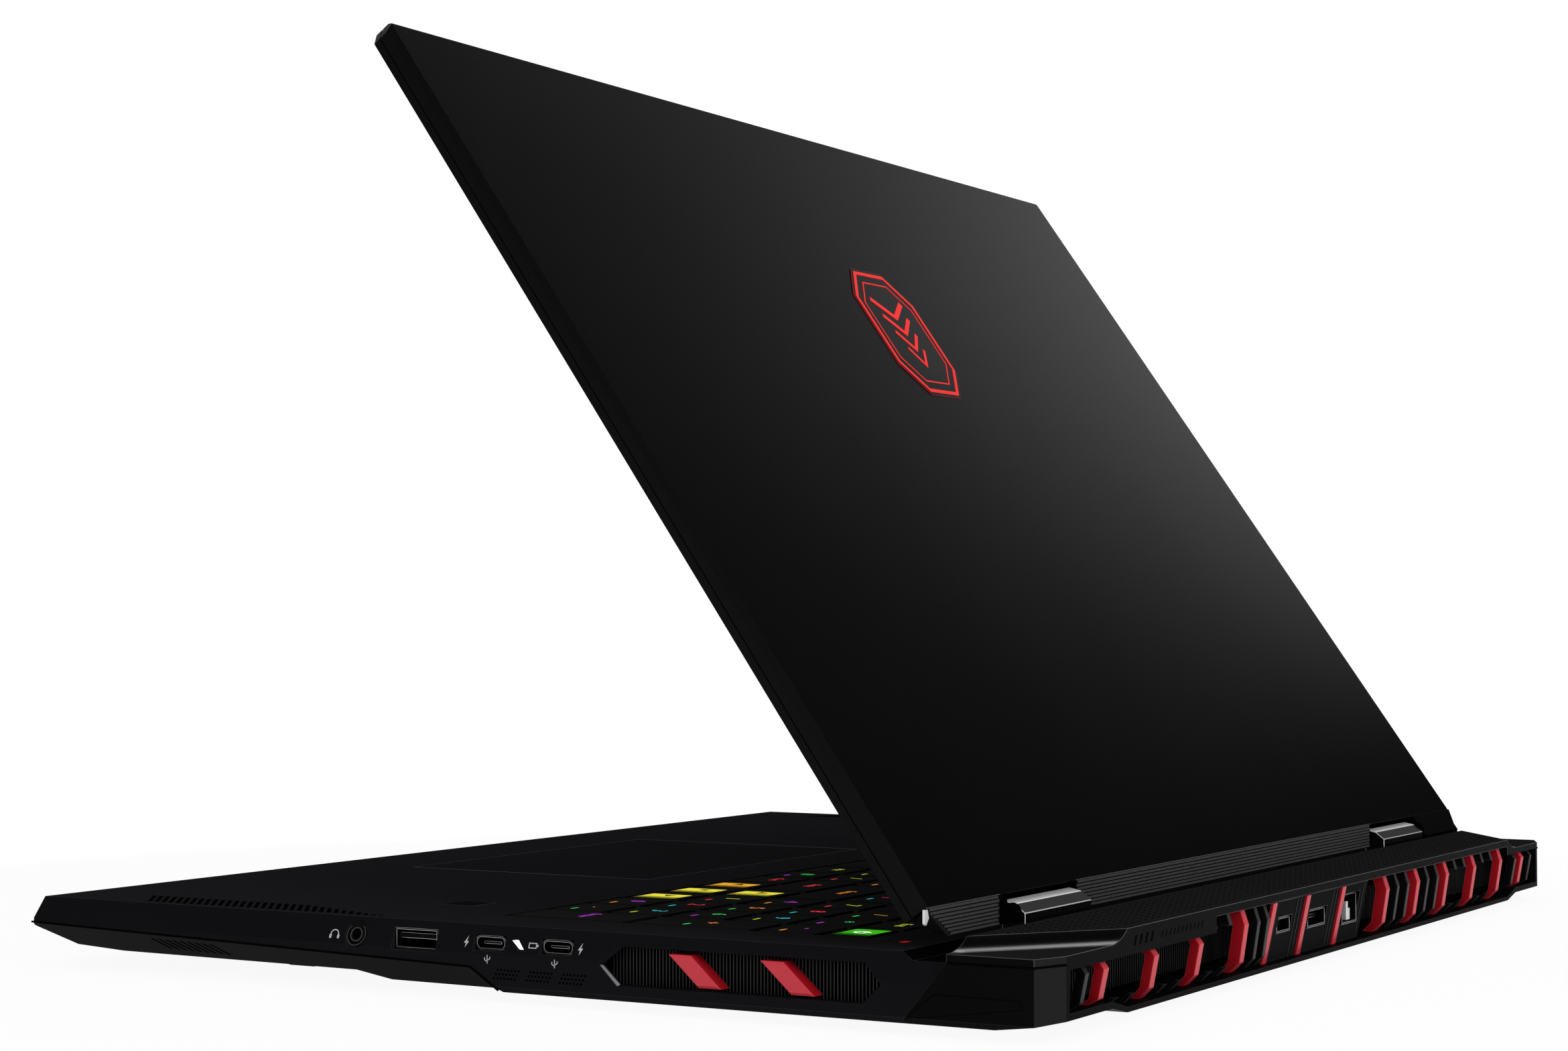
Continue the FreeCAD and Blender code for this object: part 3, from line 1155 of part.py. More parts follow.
def fingerprint_sensor():
    """Square pad let into the palm rest."""
    size = SENSOR_SIZE - 2 * PORT_CLEARANCE
    return centred_box(SENSOR_X, SENSOR_Y, Z_DECK - SENSOR_DEPTH / 2, size, size, SENSOR_DEPTH)


def touchpad():
    """Click pad in its window."""
    z = Z_DECK - TOUCHPAD_SUNK - TOUCHPAD_PLATE / 2
    return centred_box(TOUCHPAD_X, TOUCHPAD_Y, z, TOUCHPAD_WIDTH, TOUCHPAD_DEPTH, TOUCHPAD_PLATE)


def touchpad_bracket():
    """Steel plate under the click pad, fixed to the deck's underside."""
    wide = TOUCHPAD_WIDTH + 2 * BRACKET_MARGIN
    deep = TOUCHPAD_DEPTH + 2 * BRACKET_MARGIN
    z = Z_CEILING - BRACKET_THICKNESS / 2
    return centred_box(TOUCHPAD_X, TOUCHPAD_Y, z, wide, deep, BRACKET_THICKNESS)


def key_rows():
    """Key groups: name to a list of (column, width in units, row, rows tall)."""
    def run(row, column, widths):
        keys = []
        for width in widths:
            keys.append((column, width, row, 1))
            column += width
        return keys

    pad = 15
    return {
        "keys_function": run(5, 0, [1] * 18),
        "keys_number": run(4, 0, [1] * 13 + [2]),
        "keys_upper": run(3, 0, [1.5] + [1] * 12 + [1.5]),
        "keys_home": run(2, 0, [1.75] + [1] * 11 + [2.25]),
        "keys_lower": run(1, 0, [2.25] + [1] * 10 + [1.75]),
        "keys_bottom": run(0, 0, [1.5, 1, 1, 1.25]) + run(0, 10, [1, 1, 1]),
        "space_bar": run(0, 4.75, [5.25]),
        "keys_numpad": run(4, pad, [1] * 4) + run(3, pad, [1] * 3) + run(2, pad, [1] * 3)
        + run(1, pad, [1] * 3) + run(0, pad + 1, [1, 1]) + [(pad + 3, 1, 2, 2), (pad + 3, 1, 0, 2)],
        "arrow_up": run(1, 14, [1]),
        "arrow_left": run(0, 13, [1]),
        "arrow_down": run(0, 14, [1]),
        "arrow_right": run(0, 15, [1]),
        "power_key": run(5, 18, [1]),
    }


def key_place(key):
    """Corners of a key cap in plan."""
    column, width, row, tall = key
    x0 = KEYBOARD_X0 + column * KEY_PITCH + KEY_GAP / 2
    x1 = KEYBOARD_X0 + (column + width) * KEY_PITCH - KEY_GAP / 2
    y0 = KEYBOARD_Y0 + row * KEY_ROW + KEY_GAP / 2
    y1 = KEYBOARD_Y0 + (row + tall) * KEY_ROW - KEY_GAP / 2
    if row == 5:
        y1 = KEYBOARD_Y1 - KEY_GAP / 2
    return x0, x1, y0, y1


def key_caps(keys):
    """Caps of one group, each with the stem that runs in the plate."""
    caps = []
    for key in keys:
        x0, x1, y0, y1 = key_place(key)
        cap = box(x0, x1, y0, y1, Z_KEY_UNDER, Z_KEY_TOP)
        z1 = (Z_KEY_UNDER + Z_KEY_TOP) / 2
        stem = rod_z((x0 + x1) / 2, (y0 + y1) / 2, Z_TRAY - KEY_PLATE, z1, KEY_STEM_RADIUS)
        caps.append(cap.fuse(stem))
    return group(caps)


def keyboard_plate():
    """Sunken tray under the keys with a guide hole for each stem."""
    x1 = KEYBOARD_X1 + KEY_WELL_MARGIN
    y0 = KEYBOARD_Y0 - KEY_WELL_MARGIN
    y1 = KEYBOARD_Y1 + KEY_WELL_MARGIN
    outer = [Vec(sx * (x1 + KEY_RIM), y, Z_TRAY) for sx, y in (
        (-1, y0 - KEY_RIM), (1, y0 - KEY_RIM), (1, y1 + KEY_RIM), (-1, y1 + KEY_RIM))]
    wires = [Part.makePolygon(outer + [outer[0]])]
    for keys in key_rows().values():
        for key in keys:
            kx0, kx1, ky0, ky1 = key_place(key)
            centre = Vec((kx0 + kx1) / 2, (ky0 + ky1) / 2, Z_TRAY)
            circle = Part.Circle(centre, Vec(0, 0, 1), KEY_STEM_RADIUS + KEY_STEM_CLEARANCE)
            wires.append(Part.Wire([circle.toShape()]))
    face = Part.Face(wires, "Part::FaceMakerBullseye")
    plate = face.extrude(Vec(0, 0, -KEY_PLATE))
    rim = box(-x1 - KEY_RIM, x1 + KEY_RIM, y0 - KEY_RIM, y1 + KEY_RIM, Z_TRAY, Z_CEILING)
    rim = rim.cut(box(-x1, x1, y0, y1, Z_TRAY - CUT, Z_CEILING + CUT))
    return plate.fuse(rim)


def feet():
    """Rubber feet: two at the front and one long bar at the rear."""
    x1 = HALF - FOOT_FROM_SIDE + FOOT_LENGTH / 2
    y0 = Y_FRONT + FOOT_FROM_FRONT
    front = box(x1 - FOOT_LENGTH, x1, y0, y0 + FOOT_WIDTH, 0, Z_FRONT_BELLY)
    half = HALF - REAR_FOOT_FROM_SIDE
    y_rear = Y_BLOCK_LOW - REAR_FOOT_SETBACK
    rear = box(-half, half, y_rear, y_rear + FOOT_WIDTH, 0, Z_BELLY)
    return group([front, mirrored(front), rear])


def bottom_screws():
    """Screws that hold the bottom cover to the bosses of the top case."""
    screws = []
    for x, y in SCREWS:
        face = cover_floor(y) - COVER_WALL
        head = rod_z(x, y, face - SCREW_HEAD, face, SCREW_HEAD_RADIUS)
        screws.append(head.fuse(rod_z(x, y, face - SCREW_HEAD, face + SCREW_LENGTH, SCREW_RADIUS)))
    return group(screws)


Y_LID_EDGE = Y_HINGE - LID_EDGE_FROM_AXIS
Y_LID_FRONT = Y_LID_EDGE - LID_LENGTH
Z_LID_BACK = Z_HINGE + LID_BACK_ABOVE_AXIS
Z_LID_FACE = Z_LID_BACK - LID_THICKNESS
Z_LID_SPLIT = Z_LID_BACK - LID_COVER_DEPTH
LID_HALF = LID_WIDTH / 2
KNUCKLE_X1 = HALF - KNUCKLE_FROM_SIDE + KNUCKLE_WIDTH / 2
KNUCKLE_X0 = KNUCKLE_X1 - KNUCKLE_WIDTH
ARM_X0 = KNUCKLE_X1 + KNUCKLE_GAP
ARM_X1 = ARM_X0 + ARM_EYE_WIDTH
PANEL_Y0 = Y_LID_FRONT + SCREEN_TOP_MARGIN
PANEL_Y1 = PANEL_Y0 + SCREEN_HEIGHT
Z_PANEL = Z_LID_FACE + BEZEL_WALL


def opened(shape):
    """Turn a lid piece from the closed place to the angle it rests at."""
    turned = shape.copy()
    turned.rotate(Vec(0, Y_HINGE, Z_HINGE), Vec(-1, 0, 0), LID_REST_ANGLE)
    return turned


def lid_outline(inset=0.0):
    """Lid seen from above when closed."""
    return symmetric([
        (LID_HALF - inset, Y_LID_EDGE - inset),
        (LID_HALF - inset, Y_LID_FRONT + LID_CORNER),
        (LID_HALF - LID_CORNER, Y_LID_FRONT + inset),
    ])


def lid_back_cover():
    """Metal back of the lid with its bevelled edges."""
    z_bevel = Z_LID_BACK - LID_BEVEL
    section = symmetric([(LID_HALF, Z_LID_SPLIT), (LID_HALF, z_bevel), (LID_HALF - LID_BEVEL, Z_LID_BACK)])
    profile = [
        (Y_LID_EDGE, Z_LID_SPLIT), (Y_LID_EDGE, Z_LID_BACK), (Y_LID_FRONT + LID_BEVEL, Z_LID_BACK),
        (Y_LID_FRONT, z_bevel), (Y_LID_FRONT, Z_LID_SPLIT),
    ]
    shell = prism_z(lid_outline(), Z_LID_SPLIT, Z_LID_BACK)
    shell = shell.common(prism_y(section, Y_LID_FRONT, Y_LID_EDGE))
    shell = shell.common(prism_x(profile, -LID_HALF, LID_HALF))
    shell = shell.cut(prism_z(lid_outline(LID_RIM), Z_LID_SPLIT - CUT, Z_LID_BACK - LID_WALL))
    pocket = arm_body(ARM_CLEARANCE)
    return opened(shell.cut([pocket, mirrored(pocket)]))


def screen_bezel():
    """Frame round the screen with the lower rim of the lid."""
    z_rim = Z_LID_SPLIT - LID_GROOVE
    shell = prism_z(lid_outline(), Z_LID_FACE, z_rim)
    shell = shell.cut(prism_z(lid_outline(BEZEL_RIM), Z_PANEL, z_rim + CUT))
    half = SCREEN_WIDTH / 2
    window = box(-half, half, PANEL_Y0, PANEL_Y1, Z_LID_FACE - CUT, Z_PANEL + CUT)
    lens = rod_z(0, Y_LID_FRONT + LENS_SETBACK, Z_LID_FACE - CUT, Z_PANEL + CUT, LENS_RADIUS)
    inset = LID_RIM + TONGUE_GAP
    tongue = prism_z(lid_outline(inset), Z_PANEL, Z_LID_SPLIT + TONGUE_RISE)
    tongue = tongue.cut(prism_z(lid_outline(inset + TONGUE_WALL), Z_PANEL - CUT, Z_LID_BACK))
    pocket = arm_body(ARM_CLEARANCE)
    return opened(shell.fuse(tongue).cut([window, lens, pocket, mirrored(pocket)]))


def display_panel():
    """Screen panel seated on the bezel."""
    half = SCREEN_WIDTH / 2 + PANEL_OVERLAP
    return opened(box(-half, half, PANEL_Y0 - PANEL_OVERLAP, PANEL_Y1 + PANEL_OVERLAP, Z_PANEL,
                      Z_PANEL + PANEL_THICKNESS))


def webcam_module():
    """Camera strip above the screen."""
    half = WEBCAM_WIDTH / 2
    y0 = Y_LID_FRONT + LID_RIM + TONGUE_GAP + TONGUE_WALL + WEBCAM_GAP
    y1 = PANEL_Y0 - PANEL_OVERLAP - WEBCAM_GAP
    return opened(box(-half, half, y0, y1, Z_PANEL, Z_PANEL + WEBCAM_HEIGHT))


def trim_outline():
    """Wedge along the hinge edge of the closed lid in (y, z)."""
    return [
        (Y_LID_EDGE, Z_LID_BACK), (Y_HINGE + TRIM_REACH, Z_HINGE - TRIM_DROP),
        (Y_HINGE - TRIM_HEEL, Z_LID_FACE + TRIM_HEEL_LIFT), (Y_LID_EDGE, Z_LID_FACE),
    ]


def flush_outline():
    """Trim that carries the plane of the lid's back on down, in (y, z)."""
    wedge = trim_outline()
    return [wedge[0], (Y_LID_EDGE + FLUSH_REACH, Z_LID_BACK)] + wedge[1:]


def trim_end(outline):
    """End piece beside the right knuckle, with its slanted outer end."""
    x1 = LID_HALF - TRIM_END_INSET
    slant = prism_z([
        (x1, Y_LID_EDGE), (LID_HALF + CUT, Y_LID_EDGE), (LID_HALF + CUT, Y_HINGE + ARM_LEAF),
        (x1 - TRIM_END_SLANT * (ARM_LEAF + LID_EDGE_FROM_AXIS), Y_HINGE + ARM_LEAF),
    ], Z_LID_FACE - CUT, Z_LID_BACK + CUT)
    return prism_x(outline, ARM_X1, x1).cut(slant)


def lid_trim():
    """Trim wedges between and beside the hinge knuckles."""
    half = KNUCKLE_X0 - KNUCKLE_GAP
    middle = prism_x(trim_outline(), -half, half)
    right = trim_end(trim_outline())
    left = mirrored(trim_end(flush_outline()))
    return group([opened(right), opened(middle), opened(left)])


def arm_body(grow=0.0):
    """Right hinge arm of the closed lid: wedge root, eye and leaf."""
    x0 = ARM_X0 - grow
    x1 = ARM_X1 + grow
    root = prism_x(trim_outline(), ARM_X0, ARM_X1)
    eye = rod_x(ARM_X0, ARM_X1, Y_HINGE, Z_HINGE, ARM_EYE_RADIUS)
    z0 = Z_PANEL
    z1 = z0 + ARM_LEAF_THICKNESS + grow
    leaf = box(x0, x1, Y_LID_EDGE - ARM_LEAF - grow, Y_LID_EDGE + ARM_LEAF_ROOT, z0, z1)
    return root.fuse([eye, leaf])


def hinge_arm(side):
    """Arm on the lid with the eye that holds the hinge pin."""
    arm = arm_body().cut(rod_x(ARM_X0 - CUT, ARM_X1 + CUT, Y_HINGE, Z_HINGE, HINGE_PIN_RADIUS))
    arm = opened(arm)
    return arm if side > 0 else mirrored(arm)


def hinge_pins():
    """Pins fixed in the arms that turn in the knuckles."""
    x0 = KNUCKLE_X0 + KNUCKLE_END_WALL + PIN_END_GAP
    pin = rod_x(x0, ARM_X1, Y_HINGE, Z_HINGE, HINGE_PIN_RADIUS)
    return group([opened(pin), opened(mirrored(pin))])


def hinge_knuckle(side):
    """Block on the base that carries the hinge pin."""
    y0 = Y_HINGE - KNUCKLE_FRONT
    y1 = Y_HINGE + KNUCKLE_BACK
    edge = KNUCKLE_TOP / 12
    outline = [
        (y0, Z_TROUGH), (y0, Z_HINGE + KNUCKLE_TOP - CUT), (Y_HINGE - KNUCKLE_FACET, Z_HINGE + KNUCKLE_TOP),
        (Y_HINGE + edge, Z_HINGE + KNUCKLE_TOP - edge), (y1, Z_HINGE + edge), (y1, Z_TROUGH),
    ]
    block = prism_x(outline, KNUCKLE_X0, KNUCKLE_X1)
    bore = rod_x(KNUCKLE_X0 + KNUCKLE_END_WALL, KNUCKLE_X1 + CUT, Y_HINGE, Z_HINGE,
                 HINGE_PIN_RADIUS + HINGE_CLEARANCE)
    block = block.cut(bore)
    return block if side > 0 else mirrored(block)


def lid_badge():
    """Plain long hexagon plate on the lid's back."""
    y = Y_LID_EDGE - BADGE_FROM_EDGE
    half = BADGE_WIDTH / 2
    tall = BADGE_HEIGHT / 2
    neck = tall * BADGE_NECK
    outline = symmetric([(half / 2, y + tall), (half, y + neck), (half, y - neck), (half / 2, y - tall)])
    return opened(prism_z(outline, Z_LID_BACK, Z_LID_BACK + BADGE_THICKNESS))


def build():
    """Write every node."""
    save("top_case", top_case())
    save("bottom_cover", bottom_cover())
    save("rear_frame", rear_frame())
    save("rear_deck_cover", rear_deck_cover())
    save("rear_fins_red", rear_fins_red())
    save("rear_fins_black", rear_fins_black())
    save("rear_port_panel", rear_port_panel())
    for name in rear_sockets():
        save(name, rear_socket(name))
    save("usb_a_right", usb_a_socket(USB_A_Y))
    save("usb_c_right", group([usb_c_socket(y) for y in USB_C_YS]))
    save("usb_a_left", group([mirrored(usb_a_socket(y)) for y in LEFT_USB_YS]))
    save("audio_jack", audio_jack())
    save("card_slot", card_slot())
    save("main_board", main_board())
    save("rear_radiators", rear_radiators())
    save("side_radiators", side_radiators())
    save("side_vent_bars", side_vent_bars())
    save("heat_spreader", heat_spreader())
    save("heat_pipes", heat_pipes())
    for side, name in ((1, "right"), (-1, "left")):
        save("fan_rotor_" + name, fan_rotor(side))
        save("hinge_arm_" + name, hinge_arm(side))
        save("hinge_knuckle_" + name, hinge_knuckle(side))
    save("fan_housings", group([fan_housing(), mirrored(fan_housing())]))
    save("battery_pack", battery_pack())
    save("memory_modules", memory_modules())
    save("storage_drives", storage_drives())
    save("wireless_card", wireless_card())
    save("speakers", speakers())
    save("charge_light", charge_light())
    save("fingerprint_sensor", fingerprint_sensor())
    save("touchpad", touchpad())
    save("touchpad_bracket", touchpad_bracket())
    save("keyboard_plate", keyboard_plate())
    for name, keys in key_rows().items():
        save(name, key_caps(keys))
    save("feet", feet())
    save("bottom_screws", bottom_screws())
    save("lid_back_cover", lid_back_cover())
    save("screen_bezel", screen_bezel())
    save("display_panel", display_panel())
    save("webcam_module", webcam_module())
    save("lid_trim", lid_trim())
    save("hinge_pins", hinge_pins())
    save("lid_badge", lid_badge())


build()
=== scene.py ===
"""Looks of an 18 inch laptop computer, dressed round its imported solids.

Blender works in metres. +X is the user's right, +Y the rear, +Z up. Pieces are drawn in millimetres
on a Plane, whose matrix brings them to metres.
"""
import json
import logging
import math
from dataclasses import dataclass
from enum import Enum
from typing import Callable, Optional, Sequence

import bmesh
import bpy
from mathutils import Matrix, Vector

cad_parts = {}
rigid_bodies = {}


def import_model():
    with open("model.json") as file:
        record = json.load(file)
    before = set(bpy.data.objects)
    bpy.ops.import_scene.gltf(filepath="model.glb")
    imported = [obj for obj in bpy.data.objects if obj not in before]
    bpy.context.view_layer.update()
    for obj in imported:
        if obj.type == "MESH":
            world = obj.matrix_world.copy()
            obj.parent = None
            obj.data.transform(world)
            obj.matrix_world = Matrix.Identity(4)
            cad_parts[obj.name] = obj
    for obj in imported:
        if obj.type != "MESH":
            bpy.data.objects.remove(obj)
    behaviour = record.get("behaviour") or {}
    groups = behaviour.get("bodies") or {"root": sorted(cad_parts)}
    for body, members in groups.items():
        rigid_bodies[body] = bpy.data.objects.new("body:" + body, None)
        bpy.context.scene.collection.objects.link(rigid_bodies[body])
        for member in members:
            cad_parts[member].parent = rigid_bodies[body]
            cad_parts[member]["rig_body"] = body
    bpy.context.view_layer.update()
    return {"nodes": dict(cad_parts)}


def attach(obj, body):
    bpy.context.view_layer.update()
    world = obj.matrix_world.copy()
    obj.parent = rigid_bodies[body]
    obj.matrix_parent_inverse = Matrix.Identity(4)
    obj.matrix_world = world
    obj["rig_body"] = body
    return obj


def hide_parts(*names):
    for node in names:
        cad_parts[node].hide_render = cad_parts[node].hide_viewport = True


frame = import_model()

LOG = logging.getLogger("laptop")
MM = 0.001
Colour = tuple[float, float, float]
Point2 = tuple[float, float]
Point3 = tuple[float, float, float]
FaceRule = Callable[[Vector, Vector], bool]
SpotRule = Callable[[Vector], bool]

HALF_WIDTH = 202.0
HALF_DEPTH = 153.75
DECK_TOP = 19.1
WALL_BEND = 12.2
WALL_LEAN = 2.5
WALL_RISE = 6.9
SIDES = ((1, "right"), (-1, "left"))
HINGE = Vector((0.0, 122.8, 24.6))
LID_ANGLE = math.radians(54.79)
LID_TURN = (Matrix.Translation(HINGE) @ Matrix.Rotation(-LID_ANGLE, 4, "X")
            @ Matrix.Translation(-HINGE))


class Body(Enum):
    """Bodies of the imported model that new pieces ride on."""

    BASE = "base"
    LID = "lid"


BASE = Body.BASE.value
LID = Body.LID.value


@dataclass(frozen=True)
class Plane:
    """A flat place on the laptop, in millimetres, with the two directions it is drawn in."""

    origin: Point3
    along: Point3
    up: Point3
    on_lid: bool = False

    def matrix(self) -> Matrix:
        """Bring points of the plane to metres, opened with the lid where they lie on it.

        Returns:
            The matrix from (along, up, out) in millimetres to the shared frame.
        """
        along = Vector(self.along).normalized()
        up = Vector(self.up).normalized()
        turn = Matrix((along, up, along.cross(up))).transposed().to_4x4()
        turn.translation = Vector(self.origin)
        if self.on_lid:
            turn = LID_TURN @ turn
        return Matrix.Scale(MM, 4) @ turn


DECK = Plane((0.0, 0.0, DECK_TOP), (1, 0, 0), (0, 1, 0))
KEY_TOPS = Plane((0.0, 0.0, 19.15), (1, 0, 0), (0, 1, 0))
REAR_DECK = Plane((0.0, 128.0, 22.45), (1, 0, 0), (0, 1, 0))
RIGHT_WALL = Plane((HALF_WIDTH, 0.0, WALL_BEND), (0, 1, 0), (-WALL_LEAN, 0, WALL_RISE))
RIGHT_FOOT = Plane((HALF_WIDTH, 0.0, 0.0), (0, 1, 0), (0, 0, 1))
RIGHT_BEVEL = Plane((HALF_WIDTH, -HALF_DEPTH, WALL_BEND), (0, 148.25, -3.6), (1.25, 0, 1))
LEFT_FOOT = Plane((-HALF_WIDTH, 0.0, 0.0), (0, -1, 0), (0, 0, 1))
LEFT_BEVEL = Plane((-HALF_WIDTH, -HALF_DEPTH, WALL_BEND), (0, -148.25, 3.6), (-1.25, 0, 1))
REAR_FACE = Plane((0.0, HALF_DEPTH, 0.0), (-1, 0, 0), (0, 0, 1))
LID_BACK = Plane((0.0, 118.2, 25.89), (-1, 0, 0), (0, -1, 0), True)
TRIM_FACE = Plane((0.0, 124.25, 21.62), (-1, 0, 0), (0, -6.05, 4.27), True)
SCREEN_FACE = Plane((0.0, 118.2, 19.49), (1, 0, 0), (0, -1, 0), True)
BELLY = Plane((0.0, 0.0, 2.6), (1, 0, 0), (0, -1, 0))


def shown(name: str, data: bpy.types.ID) -> bpy.types.Object:
    """Put a mesh, text, lamp or camera into the scene.

    Args:
        name: name of the object.
        data: what it shows.

    Returns:
        The object at the origin.
    """
    thing = bpy.data.objects.new(name, data)
    bpy.context.scene.collection.objects.link(thing)
    return thing


def plain_mesh(thing: bpy.types.Object) -> bpy.types.Mesh:
    """Keep what an object looks like with its modifiers.

    Args:
        thing: the object, which stays as it is.

    Returns:
        A new plain mesh.
    """
    graph = bpy.context.evaluated_depsgraph_get()
    return bpy.data.meshes.new_from_object(thing.evaluated_get(graph), depsgraph=graph)


def rectangle(left: float, low: float, right: float, high: float) -> list[Point2]:
    """Corners of an upright rectangle.

    Args:
        left: first end along.
        low: lower edge.
        right: last end along.
        high: upper edge.

    Returns:
        The four corners in turn.
    """
    return [(left, low), (right, low), (right, high), (left, high)]


class TreeBuilder:
    """Small helper that adds and links nodes in any node tree."""

    def __init__(self, tree: bpy.types.NodeTree) -> None:
        """Keep the tree to build in."""
        self.tree = tree

    def add(self, kind: str, feeds: Optional[dict[object, object]] = None,
            **settings: object) -> bpy.types.Node:
        """Add a node, set its plain properties and feed its inputs.

        Args:
            kind: Blender's name of the node type.
            feeds: a socket or a plain value for each input, by its name or number.
            settings: properties of the node to set.

        Returns:
            The new node.
        """
        node = self.tree.nodes.new(kind)
        for key, value in settings.items():
            setattr(node, key, value)
        for key, value in (feeds or {}).items():
            self.feed(value, node.inputs[key])
        return node

    def feed(self, value: object, socket: bpy.types.NodeSocket) -> None:
        """Link a socket, or set a plain value."""
        if isinstance(value, bpy.types.NodeSocket):
            self.tree.links.new(value, socket)
        else:
            socket.default_value = value

    def math(self, operation: str, first: object, second: object = 0.0) -> bpy.types.NodeSocket:
        """Add a Math node.

        Args:
            operation: Blender's name of the operation.
            first: a socket or a number.
            second: a socket or a number.

        Returns:
            The node's output socket.
        """
        return self.add("ShaderNodeMath", {0: first, 1: second}, operation=operation).outputs[0]

    def ramp(self, value: bpy.types.NodeSocket, start: float, end: float) -> bpy.types.NodeSocket:
        """Rise smoothly from 0 at a start value to 1 at an end value.

        Args:
            value: the socket to read.
            start: the value that gives 0.
            end: the value that gives 1.

        Returns:
            The ramp's output socket.
        """
        feeds = {"Value": value, "From Min": start, "From Max": end}
        return self.add("ShaderNodeMapRange", feeds, interpolation_type="SMOOTHSTEP").outputs["Result"]

    def blend(self, share: object, first: object, second: object) -> bpy.types.NodeSocket:
        """Go from a first number to a second by a share.

        Args:
            share: 0 for the first number and 1 for the second.
            first: a socket or a number.
            second: a socket or a number.

        Returns:
            The mixed number's socket.
        """
        feeds = {0: share, 2: first, 3: second}
        return self.add("ShaderNodeMix", feeds, data_type="FLOAT").outputs[0]

    def sockets(self, way: str, rows: Sequence[tuple[str, str]]) -> None:
        """Args:
            way: INPUT or OUTPUT.
            rows: name and short kind of each socket.
        """
        for name, kind in rows:
            self.tree.interface.new_socket(name, in_out=way, socket_type="NodeSocket" + kind)


class ShaderGroups:
    """Shader node groups that several finishes share, each built once."""

    @staticmethod
    def grain() -> bpy.types.NodeTree:
        """Fine grain over broad handling marks.

        Returns:
            A group with Vector, Colour, Roughness, Scale, Contrast and Spread inputs.
        """
        found = bpy.data.node_groups.get("surface_grain")
        if found:
            return found
        make = TreeBuilder(bpy.data.node_groups.new("surface_grain", "ShaderNodeTree"))
        make.sockets("INPUT", (("Vector", "Vector"), ("Colour", "Color"), ("Roughness", "Float"),
                               ("Scale", "Float"), ("Contrast", "Float"), ("Spread", "Float")))
        make.sockets("OUTPUT", (("Colour", "Color"), ("Roughness", "Float"), ("Height", "Float")))
        entry = make.add("NodeGroupInput").outputs
        place = entry["Vector"]
        noise = "ShaderNodeTexNoise"
        fine = make.add(noise, {"Vector": place, "Scale": entry["Scale"], "Detail": 2.0}).outputs["Fac"]
        broad = make.add(noise, {"Vector": place, "Scale": 16.0, "Detail": 5.0}).outputs["Fac"]
        both = make.math("ADD", make.math("SUBTRACT", fine, 0.5), make.math("SUBTRACT", broad, 0.5))
        gain = make.math("ADD", make.math("MULTIPLY", both, entry["Contrast"]), 1.0)
        tint = make.add("ShaderNodeVectorMath", {0: entry["Colour"], "Scale": gain}, operation="SCALE")
        rough = make.math("ADD", make.math("MULTIPLY", both, entry["Spread"]), entry["Roughness"])
        make.add("NodeGroupOutput", {"Colour": tint.outputs[0], "Roughness": rough, "Height": fine})
        return make.tree


@dataclass(frozen=True)
class Finish:
    """One surface finish and the numbers of its grain."""

    name: str
    slot: str
    colour: Colour
    roughness: float = 0.5
    metallic: float = 0.0
    specular: float = 0.3
    glow: float = 0.0
    grain_scale: float = 3500.0
    contrast: float = 0.25
    spread: float = 0.12
    bump: float = 0.02

    BUMP_DEPTH = 0.1 * MM

    def material(self) -> bpy.types.Material:
        """Make the material, or give back the one already made.

        Returns:
            The material with its grain nodes.
        """
        found = bpy.data.materials.get("look_" + self.name)
        if found:
            return found
        material = bpy.data.materials.new("look_" + self.name)
        material.use_nodes = True
        material.node_tree.nodes.clear()
        make = TreeBuilder(material.node_tree)
        grain = make.add("ShaderNodeGroup", {
            "Vector": make.add("ShaderNodeTexCoord").outputs["Object"],
            "Colour": (*self.colour, 1.0), "Roughness": self.roughness, "Scale": self.grain_scale,
            "Contrast": self.contrast, "Spread": self.spread,
        }, node_tree=ShaderGroups.grain()).outputs
        bump = make.add("ShaderNodeBump", {
            "Strength": self.bump, "Distance": self.BUMP_DEPTH, "Height": grain["Height"],
        })
        shader = make.add("ShaderNodeBsdfPrincipled", {
            "Base Color": grain["Colour"], "Roughness": grain["Roughness"],
            "Normal": bump.outputs["Normal"], "Metallic": self.metallic,
            "Specular IOR Level": self.specular,
        })
        if self.glow:
            make.feed(grain["Colour"], shader.inputs["Emission Color"])
            make.feed(self.glow, shader.inputs["Emission Strength"])
        make.add("ShaderNodeOutputMaterial", {"Surface": shader.outputs[0]})
        return material


LID_METAL = Finish("lid_metal", "lid_metal", (0.0016, 0.0016, 0.0017), 0.15, specular=0.2, spread=0.02,
                   bump=0.004)
# Lighter, matter copy of the lid metal for the lid's sides and rounded edges: a faint painted highlight.
LID_EDGE_HIGHLIGHT = Finish("lid_edge_highlight", "lid_metal", (0.0028, 0.0028, 0.003), 0.4, specular=0.05)
DECK_METAL = Finish("deck_metal", "deck_metal", (0.012, 0.012, 0.0135), 0.6, specular=0.0)
PAD_METAL = Finish("pad_metal", "deck_metal", (0.0105, 0.0105, 0.0118), 0.55, specular=0.0)
# Lighter copy of the deck metal for rounded edges and the touchpad outline: painted highlight.
DECK_EDGE_HIGHLIGHT = Finish("deck_edge_highlight", "deck_metal", (0.05, 0.05, 0.053), 0.5, specular=0.05)
CASE_PLASTIC = Finish("case_plastic", "black_plastic", (0.0042, 0.0042, 0.0052), 0.55, specular=0.04)
# Lighter copy of the case plastic for rounded edges and rims: painted highlight.
CASE_EDGE_HIGHLIGHT = Finish("case_edge_highlight", "black_plastic", (0.01, 0.01, 0.0115), 0.5, specular=0.03)
